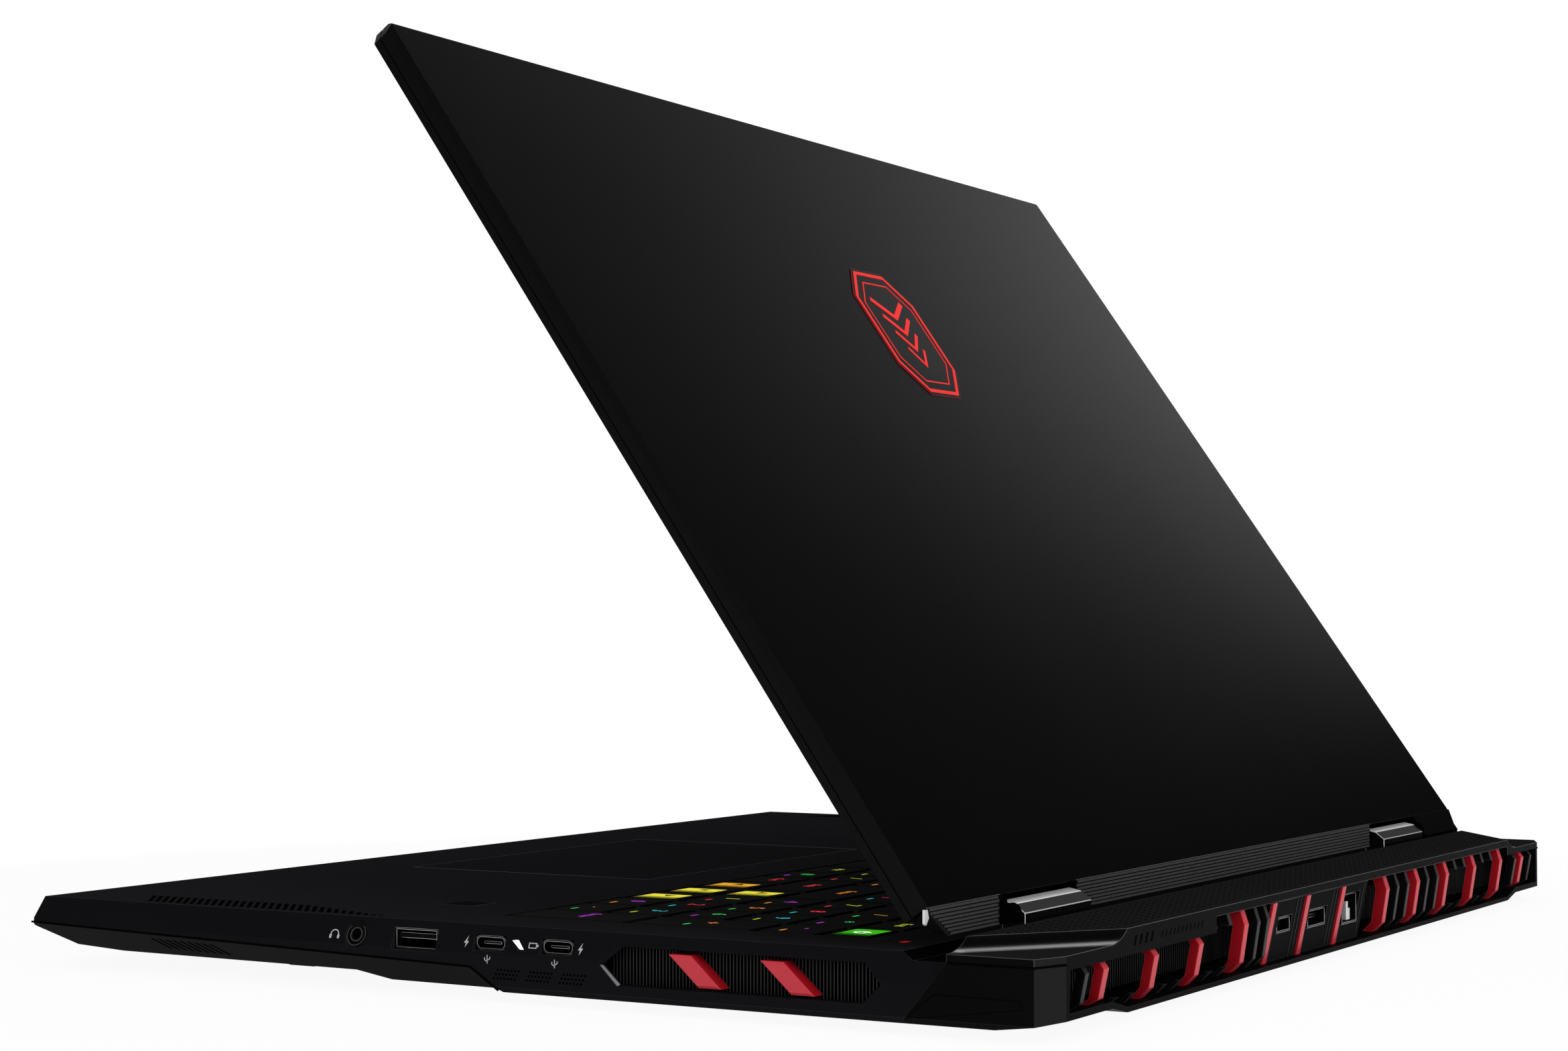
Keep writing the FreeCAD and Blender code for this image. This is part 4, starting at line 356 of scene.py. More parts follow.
# Darker copy of the black plastic for the bottom cover: painted shade against the light from the floor.
BOTTOM_PLASTIC_PAINTED_SHADE = Finish("bottom_plastic_painted_shade", "black_plastic", (0.0026, 0.0026, 0.0031), 0.6, specular=0.02)
BLOCK_PLASTIC = Finish("block_plastic", "black_plastic", (0.003, 0.003, 0.0032), 0.5, specular=0.01)
# Lighter copy of the black plastic for the rear block's upright corner facets: painted light.
CORNER_PLASTIC_PAINTED_LIGHT = Finish("corner_plastic_painted_light", "black_plastic", (0.013, 0.013, 0.0134), 0.5, specular=0.01)
REAR_PLASTIC = Finish("rear_plastic", "black_plastic", (0.0105, 0.0105, 0.0109), 0.55, specular=0.0)
REAR_GLOSS = Finish("rear_gloss", "black_plastic", (0.001, 0.001, 0.0011), 0.25, specular=0.4, spread=0.05)
# Lighter copy of the rear plastic for rounded edges, rings and thin lines: painted highlight.
REAR_EDGE_HIGHLIGHT = Finish("rear_edge_highlight", "black_plastic", (0.045, 0.045, 0.047), 0.45, specular=0.1)
FIN_BLACK = Finish("fin_black", "black_plastic", (0.002, 0.002, 0.002), 0.5, specular=0.1)
# Lighter copy of the fin black for rear-facing faces and rounded edges: painted highlight.
FIN_HIGHLIGHT = Finish("fin_highlight", "black_plastic", (0.022, 0.022, 0.023), 0.5, specular=0.15)
# Dead black for holes, grooves, gaps and faces out of the light: painted shade.
PAINTED_SHADE_BLACK = Finish("painted_shade_black", "black_plastic", (0.0012, 0.0012, 0.0012), 0.8, specular=0.0)
WEAVE = Finish("trim_weave", "black_plastic", (0.05, 0.05, 0.052), 0.5, specular=0.05)
GLOSS_BLACK = Finish("gloss_black", "gloss_black", (0.002, 0.002, 0.0022), 0.12, specular=0.5)
# Bright silver: painted highlight on the hinge knuckles' tops and rims and on the trim corner, and the
# silver of the ethernet tab.
SILVER_AND_PAINTED_HIGHLIGHT = Finish("silver_and_painted_highlight", "steel", (0.7, 0.7, 0.71), 0.35, metallic=0.4)
# Grey steel: painted highlight on the front lower facet of the side vents' lips.
LIP_PAINTED_HIGHLIGHT = Finish("lip_painted_highlight", "steel", (0.18, 0.18, 0.185), 0.4, specular=0.2)
TRIM_BASE = Finish("trim_base", "black_plastic", (0.003, 0.003, 0.003), 0.6, specular=0.0)
# Dark steel: painted shade on the hinge knuckles' slopes.
SLOPE_PAINTED_SHADE = Finish("slope_painted_shade", "steel", (0.011, 0.011, 0.0113), 0.4, specular=0.08)
RED_PLASTIC = Finish("red_plastic", "red_plastic", (0.36, 0.006, 0.012), 0.45, specular=0.1)
# Lighter copy of the red plastic for rear-facing faces, rounded edges and hipped bar faces: painted
# highlight.
RED_HIGHLIGHT = Finish("red_highlight", "red_plastic", (0.5, 0.035, 0.05), 0.42, specular=0.2)
KEY_PLASTIC = Finish("key_plastic", "keycap", (0.013, 0.013, 0.0132), 0.6, specular=0.0)
KEY_EDGE = Finish("key_edge", "keycap", (0.006, 0.006, 0.0062), 0.6, specular=0.0)
TRAY_PLASTIC = Finish("tray_plastic", "black_plastic", (0.0006, 0.0006, 0.0006), 0.7, specular=0.0)
YELLOW_CAP = Finish("yellow_cap", "arrow_cap", (0.8, 0.72, 0.06), 0.35,
                    glow=0.5, specular=0.0, contrast=0.5)
ORANGE_CAP = Finish("orange_cap", "arrow_cap", (0.8, 0.4, 0.03), 0.35,
                    glow=0.5, specular=0.0, contrast=0.5)
GREEN_CAP = Finish("green_cap", "power_cap", (0.05, 0.58, 0.012), 0.35,
                   glow=0.5, specular=0.0, contrast=0.5)
SCREEN_GLASS = Finish("screen_glass", "screen", (0.003, 0.003, 0.004), 0.1, specular=0.5, bump=0.0)
STEEL = Finish("socket_steel", "steel", (0.5, 0.5, 0.51), 0.28, metallic=1.0)
SOCKET_BLACK = Finish("socket_black", "socket_black", (0.0025, 0.0025, 0.0026), 0.5, specular=0.03)
SENSOR = Finish("sensor_black", "socket_black", (0.006, 0.006, 0.0066), 0.5, specular=0.0)
RUBBER = Finish("foot_rubber", "rubber", (0.012, 0.012, 0.012), 0.8, specular=0.1)
RADIATOR = Finish("radiator_metal", "radiator", (0.0015, 0.0015, 0.0015), 0.5, specular=0.03)
# Lighter slat tips, brighter at the sides and dimmer at the rear: painted highlights.
RADIATOR_TIP_HIGHLIGHT = Finish("radiator_tip_highlight", "radiator", (0.03, 0.03, 0.031), 0.4, specular=0.1)
RADIATOR_REAR_TIP_HIGHLIGHT = Finish("radiator_rear_tip_highlight", "radiator", (0.013, 0.013, 0.0134), 0.4, specular=0.05)
COPPER = Finish("copper", "copper", (0.6, 0.3, 0.18), 0.35, metallic=1.0)
BOARD = Finish("board_green", "board", (0.01, 0.06, 0.03), 0.45)
BATTERY = Finish("battery_wrap", "battery", (0.03, 0.03, 0.03), 0.5)
LIGHT = Finish("white_light", "light", (0.95, 0.95, 0.95), 0.3, glow=1.0)
RED_LIGHT = Finish("red_light", "badge", (0.5, 0.01, 0.012), 0.3, glow=0.3, specular=0.0)
PRINT = Finish("pale_print", "light", (0.4, 0.4, 0.4), 0.6, specular=0.1)
DARK_PRINT = Finish("dark_print", "black_plastic", (0.002, 0.002, 0.002), 0.6, specular=0.0)
BADGE_RED = Finish("badge_red", "badge", (0.82, 0.018, 0.016), 0.4, specular=0.2, glow=0.05)


class GeometryTrees:
    """Geometry node trees, each built once and used with its own sizes."""

    @staticmethod
    def begin(name: str, rows: Sequence[tuple[str, str]]) -> tuple[TreeBuilder, bpy.types.NodeOutputs]:
        """Open a tree that takes a geometry, some sizes and a material.

        Args:
            name: name of the tree.
            rows: name and short kind of each size.

        Returns:
            The tree's builder and the outputs of its entry node.
        """
        make = TreeBuilder(bpy.data.node_groups.new(name, "GeometryNodeTree"))
        make.sockets("INPUT", (("Geometry", "Geometry"), *rows, ("Material", "Material")))
        make.sockets("OUTPUT", (("Geometry", "Geometry"),))
        return make, make.add("NodeGroupInput").outputs

    @staticmethod
    def end(make: TreeBuilder, entry: bpy.types.NodeOutputs,
            shape: bpy.types.NodeSocket) -> bpy.types.NodeTree:
        """Close a tree with real geometry in its material.

        Args:
            make: the tree's builder.
            entry: outputs of its entry node.
            shape: the geometry that was made.

        Returns:
            The finished tree.
        """
        real = make.add("GeometryNodeRealizeInstances", {0: shape})
        dress = make.add("GeometryNodeSetMaterial",
                         {"Geometry": real.outputs[0], "Material": entry["Material"]})
        make.add("NodeGroupOutput", {"Geometry": dress.outputs[0]})
        return make.tree

    @staticmethod
    def field() -> bpy.types.NodeTree:
        """Rows of one item over a slanted field, every other row shifted.

        Returns:
            A tree whose geometry input is the item that is repeated.
        """
        found = bpy.data.node_groups.get("item_field")
        if found:
            return found
        sizes = ("Pitch Along", "Pitch Up", "Stagger", "Lean", "From Low", "From High", "To Low",
                 "To High")
        make, entry = GeometryTrees.begin("item_field", (("Columns", "Int"), ("Rows", "Int"),
                                                         *((size, "Float") for size in sizes)))
        steps = make.math("SUBTRACT", entry["Columns"], 1.0)
        gaps = make.math("SUBTRACT", entry["Rows"], 1.0)
        grid = make.add("GeometryNodeMeshGrid", {
            "Vertices X": entry["Columns"], "Size X": make.math("MULTIPLY", steps, entry["Pitch Along"]),
            "Vertices Y": entry["Rows"], "Size Y": make.math("MULTIPLY", gaps, entry["Pitch Up"]),
        })
        place = make.add("GeometryNodeInputPosition").outputs[0]
        spot = make.add("ShaderNodeSeparateXYZ", {0: place}).outputs
        row = make.math("DIVIDE", spot["Y"], entry["Pitch Up"])
        row = make.math("ROUND", make.math("ADD", row, make.math("MULTIPLY", gaps, 0.5)))
        odd = make.math("MULTIPLY", make.math("MODULO", row, 2.0), entry["Stagger"])
        shift = make.math("ADD", odd, make.math("MULTIPLY", row, entry["Lean"]))
        offset = make.add("ShaderNodeCombineXYZ", {"X": shift}).outputs[0]
        moved = make.add("GeometryNodeSetPosition", {"Geometry": grid.outputs["Mesh"], "Offset": offset})
        share = make.math("DIVIDE", row, make.math("MAXIMUM", gaps, 1.0))
        first = make.blend(share, entry["From Low"], entry["From High"])
        last = make.blend(share, entry["To Low"], entry["To High"])
        inside = make.math("MULTIPLY", make.math("GREATER_THAN", spot["X"], first),
                           make.math("LESS_THAN", spot["X"], last))
        items = make.add("GeometryNodeInstanceOnPoints", {
            "Points": moved.outputs[0], "Selection": inside, "Instance": entry["Geometry"],
        })
        return GeometryTrees.end(make, entry, items.outputs[0])

    @staticmethod
    def line() -> bpy.types.NodeTree:
        """Thin bead along a path.

        Returns:
            A tree whose geometry input is the path's edges.
        """
        found = bpy.data.node_groups.get("path_line")
        if found:
            return found
        make, entry = GeometryTrees.begin("path_line", (("Radius", "Float"),))
        path = make.add("GeometryNodeMeshToCurve", {"Mesh": entry["Geometry"]})
        profile = make.add("GeometryNodeCurvePrimitiveCircle", {"Resolution": 6, "Radius": entry["Radius"]})
        sweep = make.add("GeometryNodeCurveToMesh", {
            "Curve": path.outputs[0], "Profile Curve": profile.outputs[0], "Fill Caps": True,
        })
        return GeometryTrees.end(make, entry, sweep.outputs[0])

    @staticmethod
    def grow(name: str, seed: bpy.types.Mesh, tree: bpy.types.NodeTree,
             sizes: dict[str, object]) -> bpy.types.Mesh:
        """Run a tree on a mesh and keep the result as a plain mesh.

        Args:
            name: name of the new mesh.
            seed: the mesh that the tree starts from.
            tree: the geometry node tree.
            sizes: value of each named input.

        Returns:
            The finished mesh.
        """
        holder = shown(name + "_seed", seed)
        modifier = holder.modifiers.new("tree", "NODES")
        modifier.node_group = tree
        for item in tree.interface.items_tree:
            if item.item_type == "SOCKET" and item.in_out == "INPUT" and item.name in sizes:
                modifier[item.identifier] = sizes[item.name]
        mesh = plain_mesh(holder)
        mesh.name = name
        holder.modifiers.clear()
        bpy.data.objects.remove(holder)
        return mesh


@dataclass(frozen=True)
class Field:
    """Sizes of one staggered field of items, in millimetres on its plane."""

    columns: int
    rows: int
    along: float
    up: float = 1.0
    stagger: float = 0.0
    lean: float = 0.0
    low: Point2 = (-1000.0, 1000.0)
    high: Point2 = (-1000.0, 1000.0)

    def mesh(self, name: str, item: bpy.types.Mesh, finish: Finish) -> bpy.types.Mesh:
        """Repeat an item over the field.

        Args:
            name: name of the mesh.
            item: the mesh that is repeated.
            finish: finish of every item.

        Returns:
            The mesh of all the items, still in millimetres round the field's middle.
        """
        sizes = {"Columns": self.columns, "Rows": self.rows, "Pitch Along": self.along, "Pitch Up": self.up,
                 "Stagger": self.stagger, "Lean": self.lean, "From Low": self.low[0], "To Low": self.low[1],
                 "From High": self.high[0], "To High": self.high[1], "Material": finish.material()}
        return GeometryTrees.grow(name, item, GeometryTrees.field(), sizes)


class Drawing:
    """Plates, ribbons and words drawn in millimetres on a plane and made into one piece."""

    MITRE_LIMIT = 0.35
    RING_STEPS = 28

    def __init__(self, plane: Plane) -> None:
        """Start an empty drawing."""
        self.plane = plane
        self.shape = bmesh.new()

    def _loop(self, points: Sequence[Point2], height: float) -> list[bmesh.types.BMVert]:
        """Put a loop of points at a height over the plane."""
        return [self.shape.verts.new((a, b, height)) for a, b in points]

    def _face(self, corners: Sequence[bmesh.types.BMVert], finish: int) -> None:
        """Add one face with a finish number."""
        self.shape.faces.new(corners).material_index = finish

    def plate(self, points: Sequence[Point2], low: float, high: float, finish: int = 0,
              inset: float = 0.0) -> None:
        """Raise a flat outline into a plate.

        Args:
            points: outline, anticlockwise seen from outside.
            low: height of its underside.
            high: height of its top.
            finish: number of the finish in the piece's list.
            inset: how far the top is drawn in towards the middle.
        """
        middle = Vector((sum(p[0] for p in points), sum(p[1] for p in points))) / len(points)
        under = self._loop(points, low)
        size = max(max(abs(p[0] - middle.x), abs(p[1] - middle.y)) for p in points)
        share = 1.0 - inset / size
        top = self._loop([tuple(middle + (Vector(p) - middle) * share) for p in points], high)
        self._face(top, finish)
        self._face(list(reversed(under)), finish)
        count = len(points)
        for i in range(count):
            j = (i + 1) % count
            self._face((under[i], under[j], top[j], top[i]), finish)

    def ribbon(self, points: Sequence[Point2], width: float, low: float, high: float, closed: bool = False,
               finish: int = 0) -> None:
        """Draw a line of even width with mitred corners.

        Args:
            points: middle line.
            width: width of the line.
            low: height of its underside.
            high: height of its top.
            closed: whether the line runs back to its start.
            finish: number of the finish in the piece's list.
        """
        line = [Vector(p) for p in points]
        count = len(line)
        rails: list[tuple[Vector, Vector]] = []
        for i, spot in enumerate(line):
            before = line[i - 1] if closed or i else None
            after = line[(i + 1) % count] if closed or i < count - 1 else None
            ways = [(spot - before).normalized()] if before is not None else []
            ways += [(after - spot).normalized()] if after is not None else []
            sides = [Vector((-way.y, way.x)) for way in ways]
            mean = sum(sides, Vector((0.0, 0.0))).normalized()
            reach = width / 2 / max(self.MITRE_LIMIT, mean.dot(sides[0]))
            rails.append((spot + mean * reach, spot - mean * reach))
        left, right = [tuple(r[0]) for r in rails], [tuple(r[1]) for r in rails]
        left_low = self._loop(left, low)
        right_low = self._loop(right, low)
        left_top = self._loop(left, high)
        right_top = self._loop(right, high)
        for i in range(count if closed else count - 1):
            j = (i + 1) % count
            self._face((right_top[i], right_top[j], left_top[j], left_top[i]), finish)
            self._face((left_low[i], left_low[j], right_low[j], right_low[i]), finish)
            self._face((left_top[i], left_top[j], left_low[j], left_low[i]), finish)
            self._face((right_low[i], right_low[j], right_top[j], right_top[i]), finish)
        if not closed:
            self._face((right_low[0], right_top[0], left_top[0], left_low[0]), finish)
            self._face((left_low[-1], left_top[-1], right_top[-1], right_low[-1]), finish)

    def arc(self, centre: Point2, radius: float, start: float, end: float, steps: int) -> list[Point2]:
        """Points along an arc.

        Args:
            centre: middle of the arc.
            radius: its radius.
            start: first angle in degrees.
            end: last angle in degrees.
            steps: number of points.

        Returns:
            The points.
        """
        turn = [math.radians(start + (end - start) * i / (steps - 1)) for i in range(steps)]
        return [(centre[0] + radius * math.cos(t), centre[1] + radius * math.sin(t)) for t in turn]

    def circle(self, centre: Point2, radius: float, steps: int) -> list[Point2]:
        """Points round a circle."""
        return self.arc(centre, radius, 0.0, 360.0 * (steps - 1) / steps, steps)

    def disc(self, centre: Point2, radius: float, low: float, high: float, finish: int = 0,
             steps: int = 20) -> None:
        """Raise a round plate."""
        self.plate(self.circle(centre, radius, steps), low, high, finish)

    def ring(self, centre: Point2, radius: float, width: float, low: float, high: float,
             finish: int = 0) -> None:
        """Draw a round line."""
        self.ribbon(self.circle(centre, radius, self.RING_STEPS), width, low, high, True, finish)

    def words(self, text: str, size: float, centre: Point2, low: float, high: float,
              finish: int = 0) -> None:
        """Write a generic mark, such as a letter or a number on a key.

        Args:
            text: the mark.
            size: its size.
            centre: its middle.
            low: height of its underside.
            high: height of its top.
            finish: number of the finish in the piece's list.
        """
        data = bpy.data.curves.new("mark", "FONT")
        data.body = text
        data.size = size
        data.align_x = "CENTER"
        data.align_y = "CENTER"
        data.resolution_u = 2
        data.extrude = (high - low) / 2
        holder = shown("mark", data)
        self.take(plain_mesh(holder), (centre[0], centre[1], (low + high) / 2), finish)
        bpy.data.objects.remove(holder)
        bpy.data.curves.remove(data)

    def take(self, mesh: bpy.types.Mesh, place: Point3 = (0.0, 0.0, 0.0), finish: int = 0) -> None:
        """Add a mesh that is drawn in the same millimetres.

        Args:
            mesh: the mesh, which is used up.
            place: where its middle goes.
            finish: number of the finish in the piece's list.
        """
        mesh.transform(Matrix.Translation(place))
        known = len(self.shape.faces)
        self.shape.from_mesh(mesh)
        self.shape.faces.ensure_lookup_table()
        for face in self.shape.faces[known:]:
            face.material_index = finish
        bpy.data.meshes.remove(mesh)

    def mesh(self, name: str) -> bpy.types.Mesh:
        """Close the drawing as a mesh in millimetres on its plane."""
        bmesh.ops.recalc_face_normals(self.shape, faces=self.shape.faces)
        mesh = bpy.data.meshes.new(name)
        self.shape.to_mesh(mesh)
        self.shape.free()
        return mesh

    def placed(self, name: str) -> bpy.types.Mesh:
        """Close the drawing as a mesh in metres at its place."""
        mesh = self.mesh(name)
        mesh.transform(self.plane.matrix())
        return mesh

    def piece(self, name: str, body: str, finishes: Sequence[Finish]) -> bpy.types.Object:
        """Close the drawing as a piece that rides on a body.

        Args:
            name: name of the piece.
            body: name of the body.
            finishes: its finishes in the order of their numbers.

        Returns:
            The piece.
        """
        return PieceMaker.place(name, self.placed(name), body, finishes)


class PieceMaker:
    """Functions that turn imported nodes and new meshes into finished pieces."""

    MERGE = 2e-6
    FLAT = math.radians(0.4)
    SHARP = math.radians(38.0)
    BEVEL_FROM = math.radians(24.0)

    @classmethod
    def dressed(cls, node: str, finish: Finish, edge: Optional[Finish] = None, bevel: float = 0.15,
                rules: Sequence[tuple[FaceRule, Finish]] = (), cuts: Sequence[bpy.types.Mesh] = (),
                pit: Finish = PAINTED_SHADE_BLACK, crisp: Optional[SpotRule] = None) -> bpy.types.Object:
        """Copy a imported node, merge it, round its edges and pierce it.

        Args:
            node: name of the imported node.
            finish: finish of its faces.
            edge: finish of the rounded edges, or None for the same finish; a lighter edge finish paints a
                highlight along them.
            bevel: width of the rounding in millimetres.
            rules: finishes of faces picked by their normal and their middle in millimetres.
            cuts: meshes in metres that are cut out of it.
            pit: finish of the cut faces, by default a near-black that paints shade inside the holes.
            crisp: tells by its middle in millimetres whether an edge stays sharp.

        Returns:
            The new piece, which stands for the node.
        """
        source = frame["nodes"][node]
        shape = bmesh.new()
        shape.from_mesh(source.data)
        bmesh.ops.remove_doubles(shape, verts=shape.verts, dist=cls.MERGE)
        bmesh.ops.dissolve_limit(shape, angle_limit=cls.FLAT, verts=shape.verts, edges=shape.edges)
        for face in shape.faces:
            middle = face.calc_center_median() / MM
            picked = [i for i, row in enumerate(rules) if row[0](face.normal, middle)]
            face.material_index = picked[0] + 2 if picked else 0
        sharp = [e for e in shape.edges
                 if len(e.link_faces) == 2 and e.calc_face_angle(0.0) > cls.BEVEL_FROM]
        if crisp:
            sharp = [e for e in sharp if not crisp((e.verts[0].co + e.verts[1].co) / 2 / MM)]
        # The rounded edges take finish number 1, the edge finish, which is often a lighter copy that paints
        # a highlight along them.
        if bevel > 0.0 and sharp:
            bmesh.ops.bevel(shape, geom=sharp, offset=bevel * MM, segments=2, profile=0.6, affect="EDGES",
                            clamp_overlap=True, material=1, loop_slide=True)
        cls.smooth(shape)
        mesh = bpy.data.meshes.new(node + "_dressed")
        shape.to_mesh(mesh)
        shape.free()
        for each in (finish, edge or finish, *(row[1] for row in rules), pit):
            mesh.materials.append(each.material())
        for cutter in cuts:
            mesh = cls.pierced(mesh, cutter)
        mesh = cls.even(mesh)
        mesh.name = node + "_dressed"
        piece = shown(node + "_dressed", mesh)
        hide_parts(node)
        cls.ride(piece, source["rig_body"], finish)
        return piece

    @staticmethod
    def pierced(mesh: bpy.types.Mesh, cutter: bpy.types.Mesh) -> bpy.types.Mesh:
        """Cut one mesh out of another.

        Args:
            mesh: the mesh that is pierced.
            cutter: the mesh of all the holes.

        Returns:
            The pierced mesh.
        """
        for material in mesh.materials:
            cutter.materials.append(material)
        for face in cutter.polygons:
            face.material_index = len(mesh.materials) - 1
        target = shown("pierced", mesh)
        tool = shown("cutter", cutter)
        modifier = target.modifiers.new("holes", "BOOLEAN")
        modifier.operation = "DIFFERENCE"
        modifier.solver = "EXACT"
        modifier.material_mode = "INDEX"
        modifier.object = tool
        result = plain_mesh(target)
        LOG.info("pierced: %d faces became %d", len(mesh.polygons), len(result.polygons))
        for each in (target, tool):
            bpy.data.objects.remove(each)
        return result

    @staticmethod
    def even(mesh: bpy.types.Mesh) -> bpy.types.Mesh:
        """Let broad faces lead the shading of the rounded edges beside them.

        Args:
            mesh: the mesh with its smooth and sharp edges.

        Returns:
            The mesh with its normals weighted by area.
        """
        holder = shown("even", mesh)
        modifier = holder.modifiers.new("even", "WEIGHTED_NORMAL")
        modifier.mode = "FACE_AREA"
        modifier.keep_sharp = True
        result = plain_mesh(holder)
        bpy.data.objects.remove(holder)
        return result

    @classmethod
    def smooth(cls, shape: bmesh.types.BMesh) -> None:
        """Shade a mesh smooth except over its sharp edges."""
        for face in shape.faces:
            face.smooth = True
        for line in shape.edges:
            line.smooth = len(line.link_faces) == 2 and line.calc_face_angle(0.0) < cls.SHARP

    @classmethod
    def place(cls, name: str, mesh: bpy.types.Mesh, body: str,
              finishes: Sequence[Finish]) -> bpy.types.Object:
        """Make a piece of a finished mesh.

        Args:
            name: name of the piece.
            mesh: its mesh in metres.
            body: body it rides on.
            finishes: finishes in the order of their numbers.

        Returns:
            The piece.
        """
        if not mesh.materials:
            for finish in finishes:
                mesh.materials.append(finish.material())
        piece = shown(name, mesh)
        cls.ride(piece, body, finishes[0])
        return piece

    @classmethod
    def gathered(cls, name: str, drawings: Sequence[Drawing], body: str,
                 finishes: Sequence[Finish]) -> bpy.types.Object:
        """Make one piece of drawings on several planes.

        Args:
            name: name of the piece.
            drawings: the drawings, which are used up.
            body: body the piece rides on.
            finishes: finishes in the order of their numbers.

        Returns:
            The piece.
        """
        shape = bmesh.new()
        for drawing in drawings:
            mesh = drawing.placed(name)
            shape.from_mesh(mesh)
            bpy.data.meshes.remove(mesh)
        whole = bpy.data.meshes.new(name)
        shape.to_mesh(whole)
        shape.free()
        return cls.place(name, whole, body, finishes)

    @classmethod
    def bead(cls, name: str, path: Sequence[Vector], radius: float, body: str, finish: Finish,
             closed: bool = False) -> bpy.types.Object:
        """Lay a thin bead along a path.

        Args:
            name: name of the piece.
            path: points in metres.
            radius: radius of the bead in millimetres.
            body: body it rides on.
            finish: its finish.
            closed: whether the path runs back to its start.

        Returns:
            The piece.
        """
        seed = bpy.data.meshes.new(name + "_path")
        lines = [(i, i + 1) for i in range(len(path) - 1)]
        if closed:
            lines.append((len(path) - 1, 0))
        seed.from_pydata([tuple(p) for p in path], lines, [])
        sizes = {"Radius": radius * MM, "Material": finish.material()}
        mesh = GeometryTrees.grow(name, seed, GeometryTrees.line(), sizes)
        return cls.place(name, mesh, body, (finish,))

    @staticmethod
    def paint(node: str, finish: Finish) -> None:
        """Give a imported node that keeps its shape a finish."""
        mesh = frame["nodes"][node].data
        mesh.materials.clear()
        mesh.materials.append(finish.material())

    @staticmethod
    def ride(piece: bpy.types.Object, body: str, finish: Finish) -> None:
        """Let a piece ride on a body."""
        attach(piece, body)
        LOG.info("%s rides on %s", piece.name, body)


def block(width: float, height: float, low: float, high: float, lean: float = 0.0,
          inset: float = 0.0) -> bpy.types.Mesh:
    """Make one small block to repeat.

    Args:
        width: size along the plane.
        height: size up the plane.
        low: height of its underside.
        high: height of its top.
        lean: how far its upper edge is shifted along.
        inset: how far its top is drawn in.

    Returns:
        The mesh in millimetres.
    """
    item = Drawing(DECK)
    half = width / 2
    item.plate([(-half - lean / 2, -height / 2), (half - lean / 2, -height / 2),
                (half + lean / 2, height / 2), (-half + lean / 2, height / 2)], low, high, 0, inset)
    return item.mesh("block")


